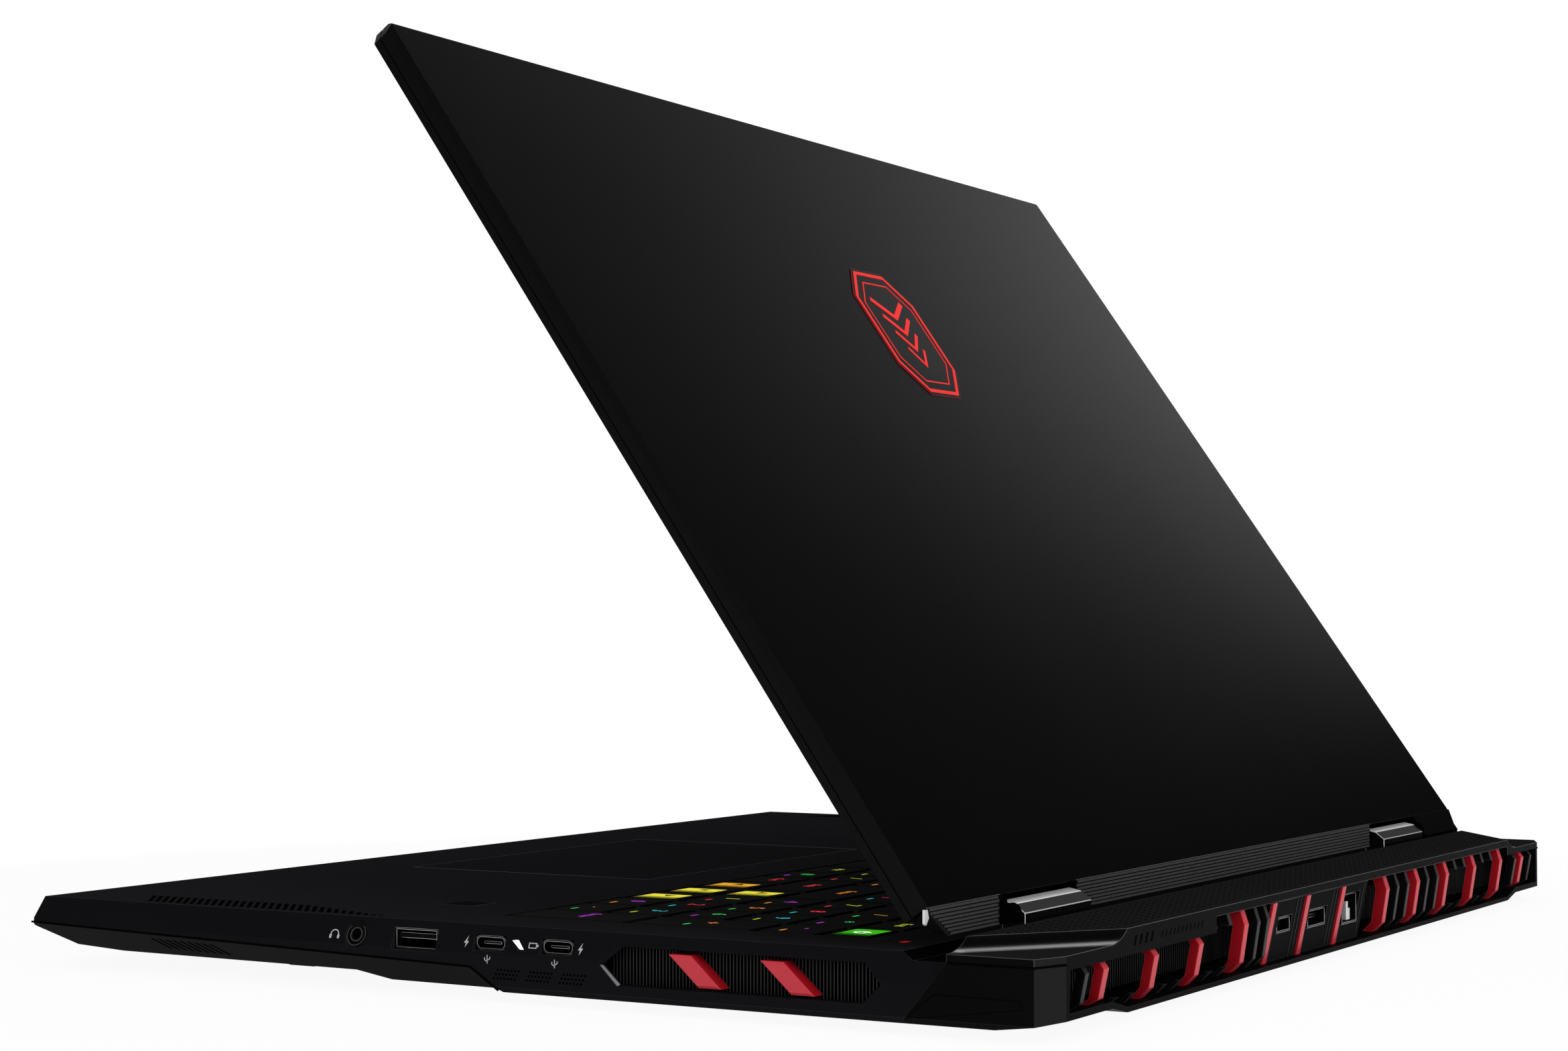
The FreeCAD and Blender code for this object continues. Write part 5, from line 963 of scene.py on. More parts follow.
@dataclass
class Deck:
    """Keyboard deck with its side walls, touchpad and finger sensor."""

    bevel: float = 0.3
    hole: float = 0.55
    hole_grid: tuple[int, int] = (7, 3)
    hole_pitch: float = 1.05
    hole_lean: float = 0.6
    hole_height: float = 7.25
    groups: int = 3
    group_from: float = 5.0
    group_pitch: float = 9.9
    pad_middle: Point2 = (10.4, -76.25)
    pad_half: Point2 = (64.15, 42.65)
    slots: int = 33
    slot_from: float = -116.0
    slot_edge: float = 196.6
    slot_reach: Point2 = (13.0, 9.6)
    slot_taper: int = 11
    slot: float = 1.1
    slot_pitch: float = 2.45

    def side_holes(self) -> bpy.types.Mesh:
        """Slanted groups of small holes low in the right-hand wall.

        Returns:
            The mesh of the holes in metres.
        """
        cutter = Drawing(RIGHT_FOOT)
        field = Field(*self.hole_grid, self.hole_pitch, self.hole_pitch, lean=self.hole_lean)
        for number in range(self.groups):
            item = block(self.hole, self.hole, -1.0, 0.4)
            mesh = field.mesh("side_holes", item, PAINTED_SHADE_BLACK)
            along = self.group_from + number * self.group_pitch
            cutter.take(mesh, (along, self.hole_height, 0.0))
        return cutter.placed("side_holes")

    @staticmethod
    def near_slots(spot: Vector) -> bool:
        """Tell whether a spot lies among the sound slots beside the palm rest."""
        return 185.0 < abs(spot.x) < 197.4 and -114.0 < spot.y < -40.0

    def sound_slots(self) -> None:
        """Inlay of slanted sound slots beside the palm rest, shorter towards the keys, each slot a strip of
        painted shade.
        """
        inlay = Drawing(DECK)
        for side in (-1, 1):
            sheet = rectangle(185.3, -113.6, 197.1, -41.2)
            inlay.plate([(side * x, y) for x, y in sheet], -0.3, 0.01, 0)
            for number in range(self.slots):
                y = self.slot_from + number * self.slot_pitch
                reach = min(1.0, (self.slots - number) / self.slot_taper)
                far = (side * (self.slot_edge - self.slot_reach[0] * reach), y - self.slot_reach[1] * reach)
                # Each slot is a strip of painted shade black.
                inlay.ribbon([(side * self.slot_edge, y), far], self.slot, 0.0, 0.03, False, 1)
        inlay.piece("sound_slots", BASE, (DECK_METAL, PAINTED_SHADE_BLACK))

    def build(self) -> None:
        """Dress the deck and add its small parts."""
        make = PieceMaker
        # Faces inside the sound slots get painted shade black.
        slots = (lambda n, c: self.near_slots(c) and abs(n.z) < 0.5, PAINTED_SHADE_BLACK)
        walls = (lambda n, c: abs(n.x) > 0.8, CASE_PLASTIC)
        # The trough faces behind the deck get painted shade black: the lid's shade on the deck.
        trough_painted_shade = (lambda n, c: c.y > 114.0 and 17.0 < c.z < 18.9, PAINTED_SHADE_BLACK)
        make.dressed("top_case", DECK_METAL, DECK_EDGE_HIGHLIGHT, self.bevel, (slots, walls, trough_painted_shade),
                     (self.side_holes(),), crisp=self.near_slots)
        make.dressed("touchpad", PAD_METAL, DECK_EDGE_HIGHLIGHT, 0.25)
        make.dressed("fingerprint_sensor", SENSOR, DECK_EDGE_HIGHLIGHT, 0.12)
        matrix = DECK.matrix()
        (x, y), (a, b) = self.pad_middle, self.pad_half
        edge = [matrix @ Vector((x + i * a, y + j * b, 0.0)) for i, j in rectangle(-1, -1, 1, 1)]
        # Thin bead of painted highlight round the touchpad.
        make.bead("touchpad_highlight_line", edge, 0.13, BASE, DECK_EDGE_HIGHLIGHT, True)
        self.sound_slots()
        lamp = Drawing(DECK)
        lamp.plate(rectangle(181.0, 106.4, 184.0, 108.2), -0.2, 0.04, 0)
        # A small dot of painted shade black.
        lamp.disc((180.9, 102.5), 0.7, -0.2, 0.03, 1)
        lamp.piece("deck_lamps", BASE, (RED_LIGHT, PAINTED_SHADE_BLACK))


@dataclass
class SideWalls:
    """Vents with their red bars, and marks beside the sockets, in the side walls."""

    vent_from: float = 33.55
    vent_to: float = 111.25
    vent_middle: float = 11.3
    vent_half: float = 4.85
    vent_tip: float = 5.0
    lip: float = 0.35
    lip_depth: float = 0.7
    slat_pitch: float = 0.95
    slat: float = 0.24
    back_plate: Point2 = (6.3, 16.3)
    bar: float = 6.3
    bar_from: float = 52.7
    bar_ends: Point2 = (7.3, 14.9)
    bar_lean: float = 8.5
    bar_pitch: float = 25.6

    def outline(self, inset: float) -> list[Point2]:
        """Long hexagon of the vent with the points where the wall bends.

        Args:
            inset: how far it is drawn in.

        Returns:
            Points (y, z) from the front tip along the bottom.
        """
        half = self.vent_half - inset
        front = self.vent_from + inset * 1.2
        back = self.vent_to - inset * 1.2
        bend = self.vent_tip * (0.9 / self.vent_half)
        low = self.vent_middle - half
        high = self.vent_middle + half
        return [(front, self.vent_middle), (front + self.vent_tip, low), (back - self.vent_tip, low),
                (back, self.vent_middle), (back - bend, WALL_BEND), (back - self.vent_tip, high),
                (front + self.vent_tip, high), (front + bend, WALL_BEND)]

    def lip_ring(self, plane: Plane, side: int) -> Drawing:
        """Chamfered lip round a vent, its front lower facet a grey painted highlight.

        Args:
            plane: the foot of the wall.
            side: 1 for the right wall and -1 for the left.

        Returns:
            The drawing.
        """
        drawing = Drawing(plane)
        loops = []
        for inset, sink in ((-0.05, -0.03), (self.lip, self.lip_depth), (self.lip, self.lip_depth + 0.5),
                            (-0.05, 0.6)):
            loop = []
            for y, z in self.outline(inset):
                slope = -WALL_LEAN / WALL_RISE * max(0.0, z - WALL_BEND)
                loop.append(drawing.shape.verts.new((side * y, z, slope - sink)))
            loops.append(loop)
        count = len(loops[0])
        for number, loop in enumerate(loops):
            after = loops[(number + 1) % len(loops)]
            for i in range(count):
                j = (i + 1) % count
                face = drawing.shape.faces.new((loop[i], loop[j], after[j], after[i]))
                # The front lower facet of the outer loop takes the painted highlight.
                face.material_index = 1 if number == 0 and i == 0 else 0
        return drawing

    def slats(self, plane: Plane, side: int) -> Drawing:
        """Upright cooling slats behind a vent, their tips lighter as a painted highlight.

        Args:
            plane: the foot of the wall.
            side: 1 for the right wall and -1 for the left.

        Returns:
            The drawing.
        """
        drawing = Drawing(plane)
        count = int((self.vent_to - self.vent_from) / self.slat_pitch)
        field = Field(count, 1, self.slat_pitch)
        middle = side * (self.vent_from + self.vent_to) / 2
        height = 2 * self.vent_half + 0.3
        spot = (middle, self.vent_middle, 0.0)
        drawing.take(field.mesh("slats", block(self.slat, height, -14.5, -5.0), RADIATOR), spot, 0)
        drawing.take(field.mesh("tips", block(self.slat, height, -5.0, -4.8), RADIATOR_TIP_HIGHLIGHT), spot, 1)
        half = (self.vent_to - self.vent_from) / 2
        low, high = self.back_plate
        drawing.plate(rectangle(middle - half, low, middle + half, high), -15.5, -14.5, 0)
        return drawing

    def bars(self, plane: Plane, side: int) -> Drawing:
        """Two leaning red bars with hipped faces in front of the slats, the hipped faces a lighter red that
        paints a highlight.

        Args:
            plane: the foot of the wall.
            side: 1 for the right wall and -1 for the left.

        Returns:
            The drawing.
        """
        drawing = Drawing(plane)
        low, high = self.bar_ends
        for number in range(2):
            start = self.bar_from + number * self.bar_pitch
            rows = ((start + self.bar_lean, low), (start + self.bar_lean + self.bar, low),
                    (start + self.bar, high), (start, high))
            outline = [(side * y, z) for y, z in rows]
            drawing.plate(outline, -5.0, -0.9, 0)
            # The hipped top takes the lighter red: a painted highlight.
            drawing.plate(outline, -0.9, -0.4, 1, 1.3)
        return drawing

    def marks(self) -> None:
        """Generic pictures beside the right-hand sockets."""
        wall = Drawing(RIGHT_WALL)
        low, high = 0.0, 0.02
        wall.ribbon(wall.arc((-48.9, 2.2), 1.25, 0.0, 180.0, 9), 0.28, low, high)
        for side in (-1, 1):
            x = -48.9 + side * 1.25
            wall.plate(rectangle(x - 0.35, 1.2, x + 0.35, 2.2), low, high)
        wall.ribbon(rectangle(11.9, 2.1, 14.1, 3.3), 0.25, low, high, True)
        wall.plate(rectangle(14.3, 2.4, 14.7, 3.0), low, high)
        for y in (-7.2, 27.2):
            wall.plate([(y - 0.2, 1.1), (y + 0.75, 2.8), (y + 0.1, 2.8), (y + 0.45, 4.2), (y - 0.7, 2.3),
                        (y - 0.05, 2.3)], low, high)
        stem = Drawing(RIGHT_FOOT)
        for y in (-0.2, 20.1):
            stem.ribbon([(y, 9.7), (y, 11.8)], 0.25, low, high)
            stem.ribbon([(y - 0.8, 11.2), (y - 0.8, 10.6), (y, 10.1)], 0.22, low, high)
            stem.ribbon([(y + 0.8, 11.4), (y + 0.8, 10.9), (y, 10.4)], 0.22, low, high)
        # Two lighter rings in the edge copy: a painted highlight.
        wall.ring((-42.0, 2.6), 2.9, 0.22, low, high, 1)
        wall.ring((-42.0, 2.6), 1.75, 0.22, low - 0.3, high, 1)
        PieceMaker.gathered("socket_marks", (wall, stem), BASE, (PRINT, REAR_EDGE_HIGHLIGHT))

    def build(self) -> None:
        """Dress both walls."""
        planes = ((RIGHT_FOOT, 1), (LEFT_FOOT, -1))
        lips = [self.lip_ring(plane, side) for plane, side in planes]
        PieceMaker.gathered("side_vent_lips", lips, BASE, (CASE_PLASTIC, LIP_PAINTED_HIGHLIGHT))
        slats = [self.slats(plane, side) for plane, side in planes]
        piece = PieceMaker.gathered("side_radiators_slats", slats, BASE, (RADIATOR, RADIATOR_TIP_HIGHLIGHT))
        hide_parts("side_radiators")
        bars = [self.bars(plane, side) for plane, side in planes]
        piece = PieceMaker.gathered("side_vent_bars_hipped", bars, BASE, (RED_PLASTIC, RED_HIGHLIGHT))
        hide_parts("side_vent_bars")
        self.marks()


@dataclass
class Sockets:
    """Sockets with bright rims and dark mouths."""

    bevel: float = 0.09

    BRIGHT = ("usb_a_right", "usb_c_right", "usb_a_left", "hdmi_socket", "ethernet_socket", "power_inlet")
    PLAIN = ("audio_jack", "card_slot")

    def build(self) -> None:
        """Dress every socket."""
        make = PieceMaker
        dark = SOCKET_BLACK
        for node in self.BRIGHT:
            make.dressed(node, dark, STEEL, self.bevel)
        # The plain sockets' rims take the lighter edge copy: a painted highlight.
        for node in self.PLAIN:
            make.dressed(node, dark, CASE_EDGE_HIGHLIGHT, self.bevel)
        make.dressed("charge_light", LIGHT, None, 0.05)
        tab = Drawing(Plane((-8.1, 149.6, 12.95), (-1, 0, 0), (0, 0, 1)))
        tab.plate([(0.4, -3.6), (3.6, -3.6), (3.6, -0.4), (2.0, -0.4), (2.0, 1.6), (0.4, 1.6)], -1.0, 0.4)
        tab.piece("ethernet_tab", BASE, (SILVER_AND_PAINTED_HIGHLIGHT,))


@dataclass
class RearBlock:
    """Rear frame, its perforated cover, fins, radiators and socket panel."""

    bevel: float = 0.2
    fine_bevel: float = 0.12
    dash: Point2 = (1.4, 0.65)
    dash_lean: float = 0.35
    dash_pitch: Point2 = (4.2, 2.3)
    slat_pitch: float = 1.4
    slat: float = 0.35
    slat_ends: Point2 = (5.8, 15.2)
    panel_top: Point2 = (152.8, 19.9)
    panel_size: Point2 = (3.48, 16.4)
    panel_groove: float = 0.25

    RADIATORS = ((-186.7, -62.0), (23.0, 187.8))
    SLASHES = ((4, -152.5, 3.4, (-1.4, -0.3, 0.9, -0.2), (18.0, 20.4)),
               (11, -136.0, 2.6, (-1.0, -0.4, 0.5, -0.1), (18.4, 20.0)))

    def dashes(self) -> bpy.types.Mesh:
        """Slanted slots over the raised cover, as a cutter in metres."""
        field = Field(92, 9, self.dash_pitch[0], self.dash_pitch[1], self.dash_pitch[0] / 2, 0.0,
                      (-185.0, 185.0), (-159.0, 159.0))
        item = block(self.dash[0], self.dash[1], -0.7, 0.5, self.dash_lean)
        cutter = Drawing(REAR_DECK)
        cutter.take(field.mesh("dashes", item, PAINTED_SHADE_BLACK), (0.0, 12.3, 0.0))
        return cutter.placed("dashes")

    def radiators(self) -> None:
        """Upright slats behind the rear fins, their tips a little lighter as a painted highlight."""
        drawing = Drawing(REAR_FACE)
        low, high = self.slat_ends
        for first, last in self.RADIATORS:
            field = Field(int((last - first) / self.slat_pitch), 1, self.slat_pitch)
            spot = ((first + last) / 2, 10.5, 0.0)
            drawing.take(field.mesh("slats", block(self.slat, 9.4, -21.6, -11.9), RADIATOR), spot, 0)
            drawing.take(field.mesh("tips", block(self.slat, 9.4, -11.9, -11.6), RADIATOR_TIP_HIGHLIGHT), spot, 1)
            drawing.plate(rectangle(first, low, last, high), -22.4, -21.6, 0)
        piece = drawing.piece("rear_radiators_slats", BASE, (RADIATOR, RADIATOR_REAR_TIP_HIGHLIGHT))
        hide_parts("rear_radiators")

    def marks(self) -> None:
        """Rows of plain slashes on the rear band."""
        band = Drawing(REAR_FACE)
        for count, start, pitch, ends, (low, high) in self.SLASHES:
            for number in range(count):
                a = start + number * pitch
                corners = [(a + end, z) for end, z in zip(ends, (low, low, high, high))]
                band.plate(corners, 0.0, 0.02)
        band.piece("rear_slashes", BASE, (DARK_PRINT,))

    def recess(self) -> None:
        """Line round the small panel in the right-hand corner."""
        corners = [(124.9, 10.0), (146.5, 9.7), (147.3, 7.8), (117.4, 3.9)]
        matrix = RIGHT_FOOT.matrix()
        path = [matrix @ Vector((y, z, 0.0)) for y, z in corners]
        PieceMaker.bead("corner_panel_line", path, 0.14, BASE, DARK_PRINT, True)

    def panel_sunk(self, normal: Vector, middle: Vector) -> bool:
        """Tell whether a face lies in a groove of the socket panel."""
        face = self.panel_top[0] - (self.panel_top[1] - middle.z) / self.panel_size[1] * self.panel_size[0]
        return middle.y < face - self.panel_groove

    def build(self) -> None:
        """Dress the rear block."""
        make = PieceMaker
        # Faces turned to the rear take lighter copies of the fin colours: painted highlight.
        behind = (lambda n, c: n.y > 0.45, FIN_HIGHLIGHT)
        red_rear_highlight = (lambda n, c: n.y > 0.45, RED_HIGHLIGHT)
        curved = (lambda n, c: 0.12 < n.z < 0.9995 and c.z < 22.3, REAR_GLOSS)
        sides = (lambda n, c: n.z < 0.5, BLOCK_PLASTIC)
        # The upright corner facets take the lighter plastic copy: painted light.
        corner = (lambda n, c: abs(n.x) > 0.3 and n.y > 0.3 and abs(n.z) < 0.3, CORNER_PLASTIC_PAINTED_LIGHT)
        make.dressed("rear_frame", BLOCK_PLASTIC, CASE_EDGE_HIGHLIGHT, self.bevel, (corner,))
        make.dressed("rear_deck_cover", REAR_PLASTIC, REAR_EDGE_HIGHLIGHT, self.fine_bevel, (curved, corner, sides),
                     (self.dashes(),), crisp=lambda c: c.z < 18.2)
        make.dressed("rear_fins_red", RED_PLASTIC, RED_HIGHLIGHT, self.bevel, (red_rear_highlight,))
        make.dressed("rear_fins_black", FIN_BLACK, FIN_HIGHLIGHT, self.bevel, (behind,))
        # Faces in the panel's grooves get painted shade black.
        make.dressed("rear_port_panel", REAR_PLASTIC, REAR_EDGE_HIGHLIGHT, self.fine_bevel,
                     ((self.panel_sunk, PAINTED_SHADE_BLACK),))
        for side, name in SIDES:
            seam = [Vector((side * x, y, 17.4)) * MM
                    for x, y in ((HALF_WIDTH, 128.3), (HALF_WIDTH, 150.1), (192.6, HALF_DEPTH))]
            # Dark bead along a real seam, its black a painted shade in the joint.
            make.bead("rear_seam_" + name, seam, 0.28, BASE, PAINTED_SHADE_BLACK)
        self.radiators()
        self.marks()
        self.recess()


class Underside:
    """Cover, feet and screws below."""

    SCREWS = ((180.0, -117.25), (88.0, -117.25), (188.0, -76.25), (84.0, 106.25))

    def slots(self, plane: Plane, side: int) -> bpy.types.Mesh:
        """Slanted sound slots in a front bevel.

        Args:
            plane: the bevel.
            side: 1 for the right side and -1 for the left.

        Returns:
            The mesh of the slots in metres.
        """
        cutter = Drawing(plane)
        field = Field(9, 1, 2.55)
        item = block(1.1, 4.6, -1.0, 0.6, -4.2 * side)
        cutter.take(field.mesh("slots", item, PAINTED_SHADE_BLACK), (side * 54.0, -4.7, 0.0))
        return cutter.placed("slots")

    def build(self) -> None:
        """Dress the underside."""
        make = PieceMaker
        cuts = (self.slots(RIGHT_BEVEL, 1), self.slots(LEFT_BEVEL, -1))
        # The bottom cover takes the darker plastic copy: painted shade.
        make.dressed("bottom_cover", BOTTOM_PLASTIC_PAINTED_SHADE, CASE_EDGE_HIGHLIGHT, 0.2, (), cuts)
        for side, name in SIDES:
            seam = [Vector((side * HALF_WIDTH, y, z)) * MM
                    for y, z in ((-153.7, WALL_BEND), (-5.5, 8.6), (3.2, 3.2))]
            # Dark bead along a real seam, its black a painted shade under the overhang.
            make.bead("seam_line_" + name, seam, 0.3, BASE, PAINTED_SHADE_BLACK)
        make.dressed("feet", RUBBER, RUBBER, 0.4)
        make.dressed("bottom_screws", STEEL, STEEL, 0.15)
        sockets = Drawing(BELLY)
        for x, y in self.SCREWS:
            for side in (-1, 1):
                foot = -1.6 if y < -45.75 else 0.6
                # Dark discs round the screws: painted shade in their recesses.
                sockets.disc((side * x, -y), 1.2, foot - 0.3, foot + 0.02, 0, 6)
        sockets.piece("screw_sockets", BASE, (PAINTED_SHADE_BLACK,))


@dataclass
class Keyboard:
    """Key caps with generic marks over their tray."""

    left: float = -179.075
    column: float = 18.85
    front: float = -11.5
    row: float = 18.6
    lift: float = 0.02
    letter: float = 6.4
    word: float = 4.0
    bevel: float = 0.3
    function_shift: float = 2.0

    ROWS = {
        "keys_function": (5, "Esc F1 F2 F3 F4 F5 F6 F7 F8 F9 F10 F11 F12 Prt Ins Del Home End", {}),
        "keys_number": (4, "` 1 2 3 4 5 6 7 8 9 0 - = Back", {13: 2.0}),
        "keys_upper": (3, "Tab Q W E R T Y U I O P [ ] |", {0: 1.5, 13: 1.5}),
        "keys_home": (2, "Caps A S D F G H J K L ; ' Enter", {0: 1.75, 12: 2.25}),
        "keys_lower": (1, "Shift Z X C V B N M , . / Shift", {0: 2.25, 11: 1.75}),
        "keys_bottom": (0, "Ctrl Fn # Alt", {0: 1.5, 3: 1.25}),
    }
    PAD = ((4, 15.0, "Num / * -"), (3, 15.0, "7 8 9"), (2, 15.0, "4 5 6"), (1, 15.0, "1 2 3"),
           (0, 16.0, "0 ."))
    TALL = ((18.0, 2, "+"), (18.0, 0, "Enter"))
    ARROWS = {"arrow_up": (14.0, 1, 90.0), "arrow_left": (13.0, 0, 180.0), "arrow_down": (14.0, 0, 270.0),
              "arrow_right": (15.0, 0, 0.0)}
    COLOURS = ((0.30, 0.03, 0.42), (0.02, 0.36, 0.42), (0.60, 0.20, 0.02), (0.36, 0.42, 0.03),
               (0.03, 0.40, 0.08), (0.55, 0.03, 0.04))

    def inks(self) -> list[Finish]:
        """Coloured lit marks of the keys.

        Returns:
            One finish for each colour.
        """
        return [Finish(f"mark_{i}", "light", colour, 0.5, glow=0.9, specular=0.0)
                for i, colour in enumerate(self.COLOURS)]

    def spot(self, column: float, row: float, width: float = 1.0, tall: float = 1.0) -> Point2:
        """Middle of a key.

        Args:
            column: column of its left edge.
            row: row of its front edge.
            width: its width in keys.
            tall: its depth in keys.

        Returns:
            The middle on the deck.
        """
        y = self.front + (row + tall / 2) * self.row
        if row == 5:
            y -= self.function_shift
        return (self.left + (column + width / 2) * self.column, y)

    def cap(self, node: str) -> None:
        """Dress one key or row of keys."""
        PieceMaker.dressed(node, KEY_PLASTIC, KEY_EDGE, self.bevel)

    def mark(self, drawing: Drawing, text: str, spot: Point2, ink: int) -> None:
        """Write one mark with a short bar beside it."""
        size = self.letter if len(text) == 1 else self.word
        drawing.words(text, size, (spot[0] - 1.0, spot[1] + 1.0), 0.0, self.lift, ink)
        if len(text) == 1:
            drawing.ribbon([(spot[0] + 2.4, spot[1] - 3.4), (spot[0] + 5.6, spot[1] - 3.4)], 0.8, 0.0,
                           self.lift, False, (ink + 2) % len(self.COLOURS))

    def write_row(self, node: str) -> None:
        """Write the marks of one row."""
        row, text, widths = self.ROWS[node]
        column = 0.0
        drawing = Drawing(KEY_TOPS)
        for number, word in enumerate(text.split()):
            width = widths.get(number, 1.0)
            self.mark(drawing, word, self.spot(column, row, width), (number * 2 + row) % len(self.COLOURS))
            column += width
        if node == "keys_bottom":
            for number, word in enumerate(("Alt", "#", "Ctrl")):
                self.mark(drawing, word, self.spot(10.0 + number, row), (number + 3) % len(self.COLOURS))
        drawing.piece(node + "_marks", node, self.inks())

    def write_pad(self) -> None:
        """Write the marks of the number pad."""
        drawing = Drawing(KEY_TOPS)
        for row, column, text in self.PAD:
            for number, word in enumerate(text.split()):
                ink = (number * 2 + row * 3) % len(self.COLOURS)
                self.mark(drawing, word, self.spot(column + number, row), ink)
        for column, row, word in self.TALL:
            self.mark(drawing, word, self.spot(column, row, 1.0, 2.0), row)
        drawing.piece("keys_numpad_marks", "keys_numpad", self.inks())

    def window(self, drawing: Drawing, spot: Point2, half: Point2) -> None:
        """Clear coloured window on a cap, crossed by dark stripes on one side.

        Args:
            drawing: the drawing to add to.
            spot: middle of the cap.
            half: half the window's width and depth.
        """
        x, y = spot
        a, b = half
        drawing.plate(rectangle(x - a, y - b, x + a, y + b), -0.05, self.lift)
        for number in range(6):
            place = x + a - 0.2 - number * 0.75
            stripe = [(place, y - b), (place, y + b)]
            drawing.ribbon(stripe, 0.5 - number * 0.07, self.lift, 2 * self.lift, False, 1)

    def draw_arrow(self, node: str, cap: Finish) -> None:
        """Draw an arrow key's window and arrow head.

        Args:
            node: name of the key.
            cap: finish of its window.
        """
        column, row, turn = self.ARROWS[node]
        drawing = Drawing(KEY_TOPS)
        spot = self.spot(column, row)
        self.window(drawing, (spot[0] + 2.3, spot[1] - 0.7), (5.3, 6.2))
        drawing.plate(drawing.arc(spot, 2.2, turn, turn + 240.0, 3), self.lift, 2 * self.lift, 1)
        drawing.piece(node + "_window", node, (cap, DARK_PRINT))

    def draw_power(self) -> None:
        """Draw the power key's window and its sign."""
        drawing = Drawing(KEY_TOPS)
        spot = self.spot(18.0, 5)
        self.window(drawing, spot, (6.4, 4.8))
        low, high = self.lift, 2.5 * self.lift
        drawing.ribbon(drawing.arc(spot, 1.9, 125.0, 415.0, 15), 0.45, low, high, False, 2)
        drawing.ribbon([(spot[0], spot[1] + 0.4), (spot[0], spot[1] + 2.6)], 0.45, low, high, False, 2)
        drawing.piece("power_key_window", "power_key", (GREEN_CAP, DARK_PRINT, LIGHT))

    def build(self) -> None:
        """Dress the caps and write their marks."""
        for node in self.ROWS:
            self.cap(node)
            self.write_row(node)
        for node in ("space_bar", "keys_numpad"):
            self.cap(node)
        self.write_pad()
        for node in self.ARROWS:
            self.cap(node)
            self.draw_arrow(node, ORANGE_CAP if node == "arrow_left" else YELLOW_CAP)
        self.cap("power_key")
        self.draw_power()
        PieceMaker.paint("keyboard_plate", TRAY_PLASTIC)


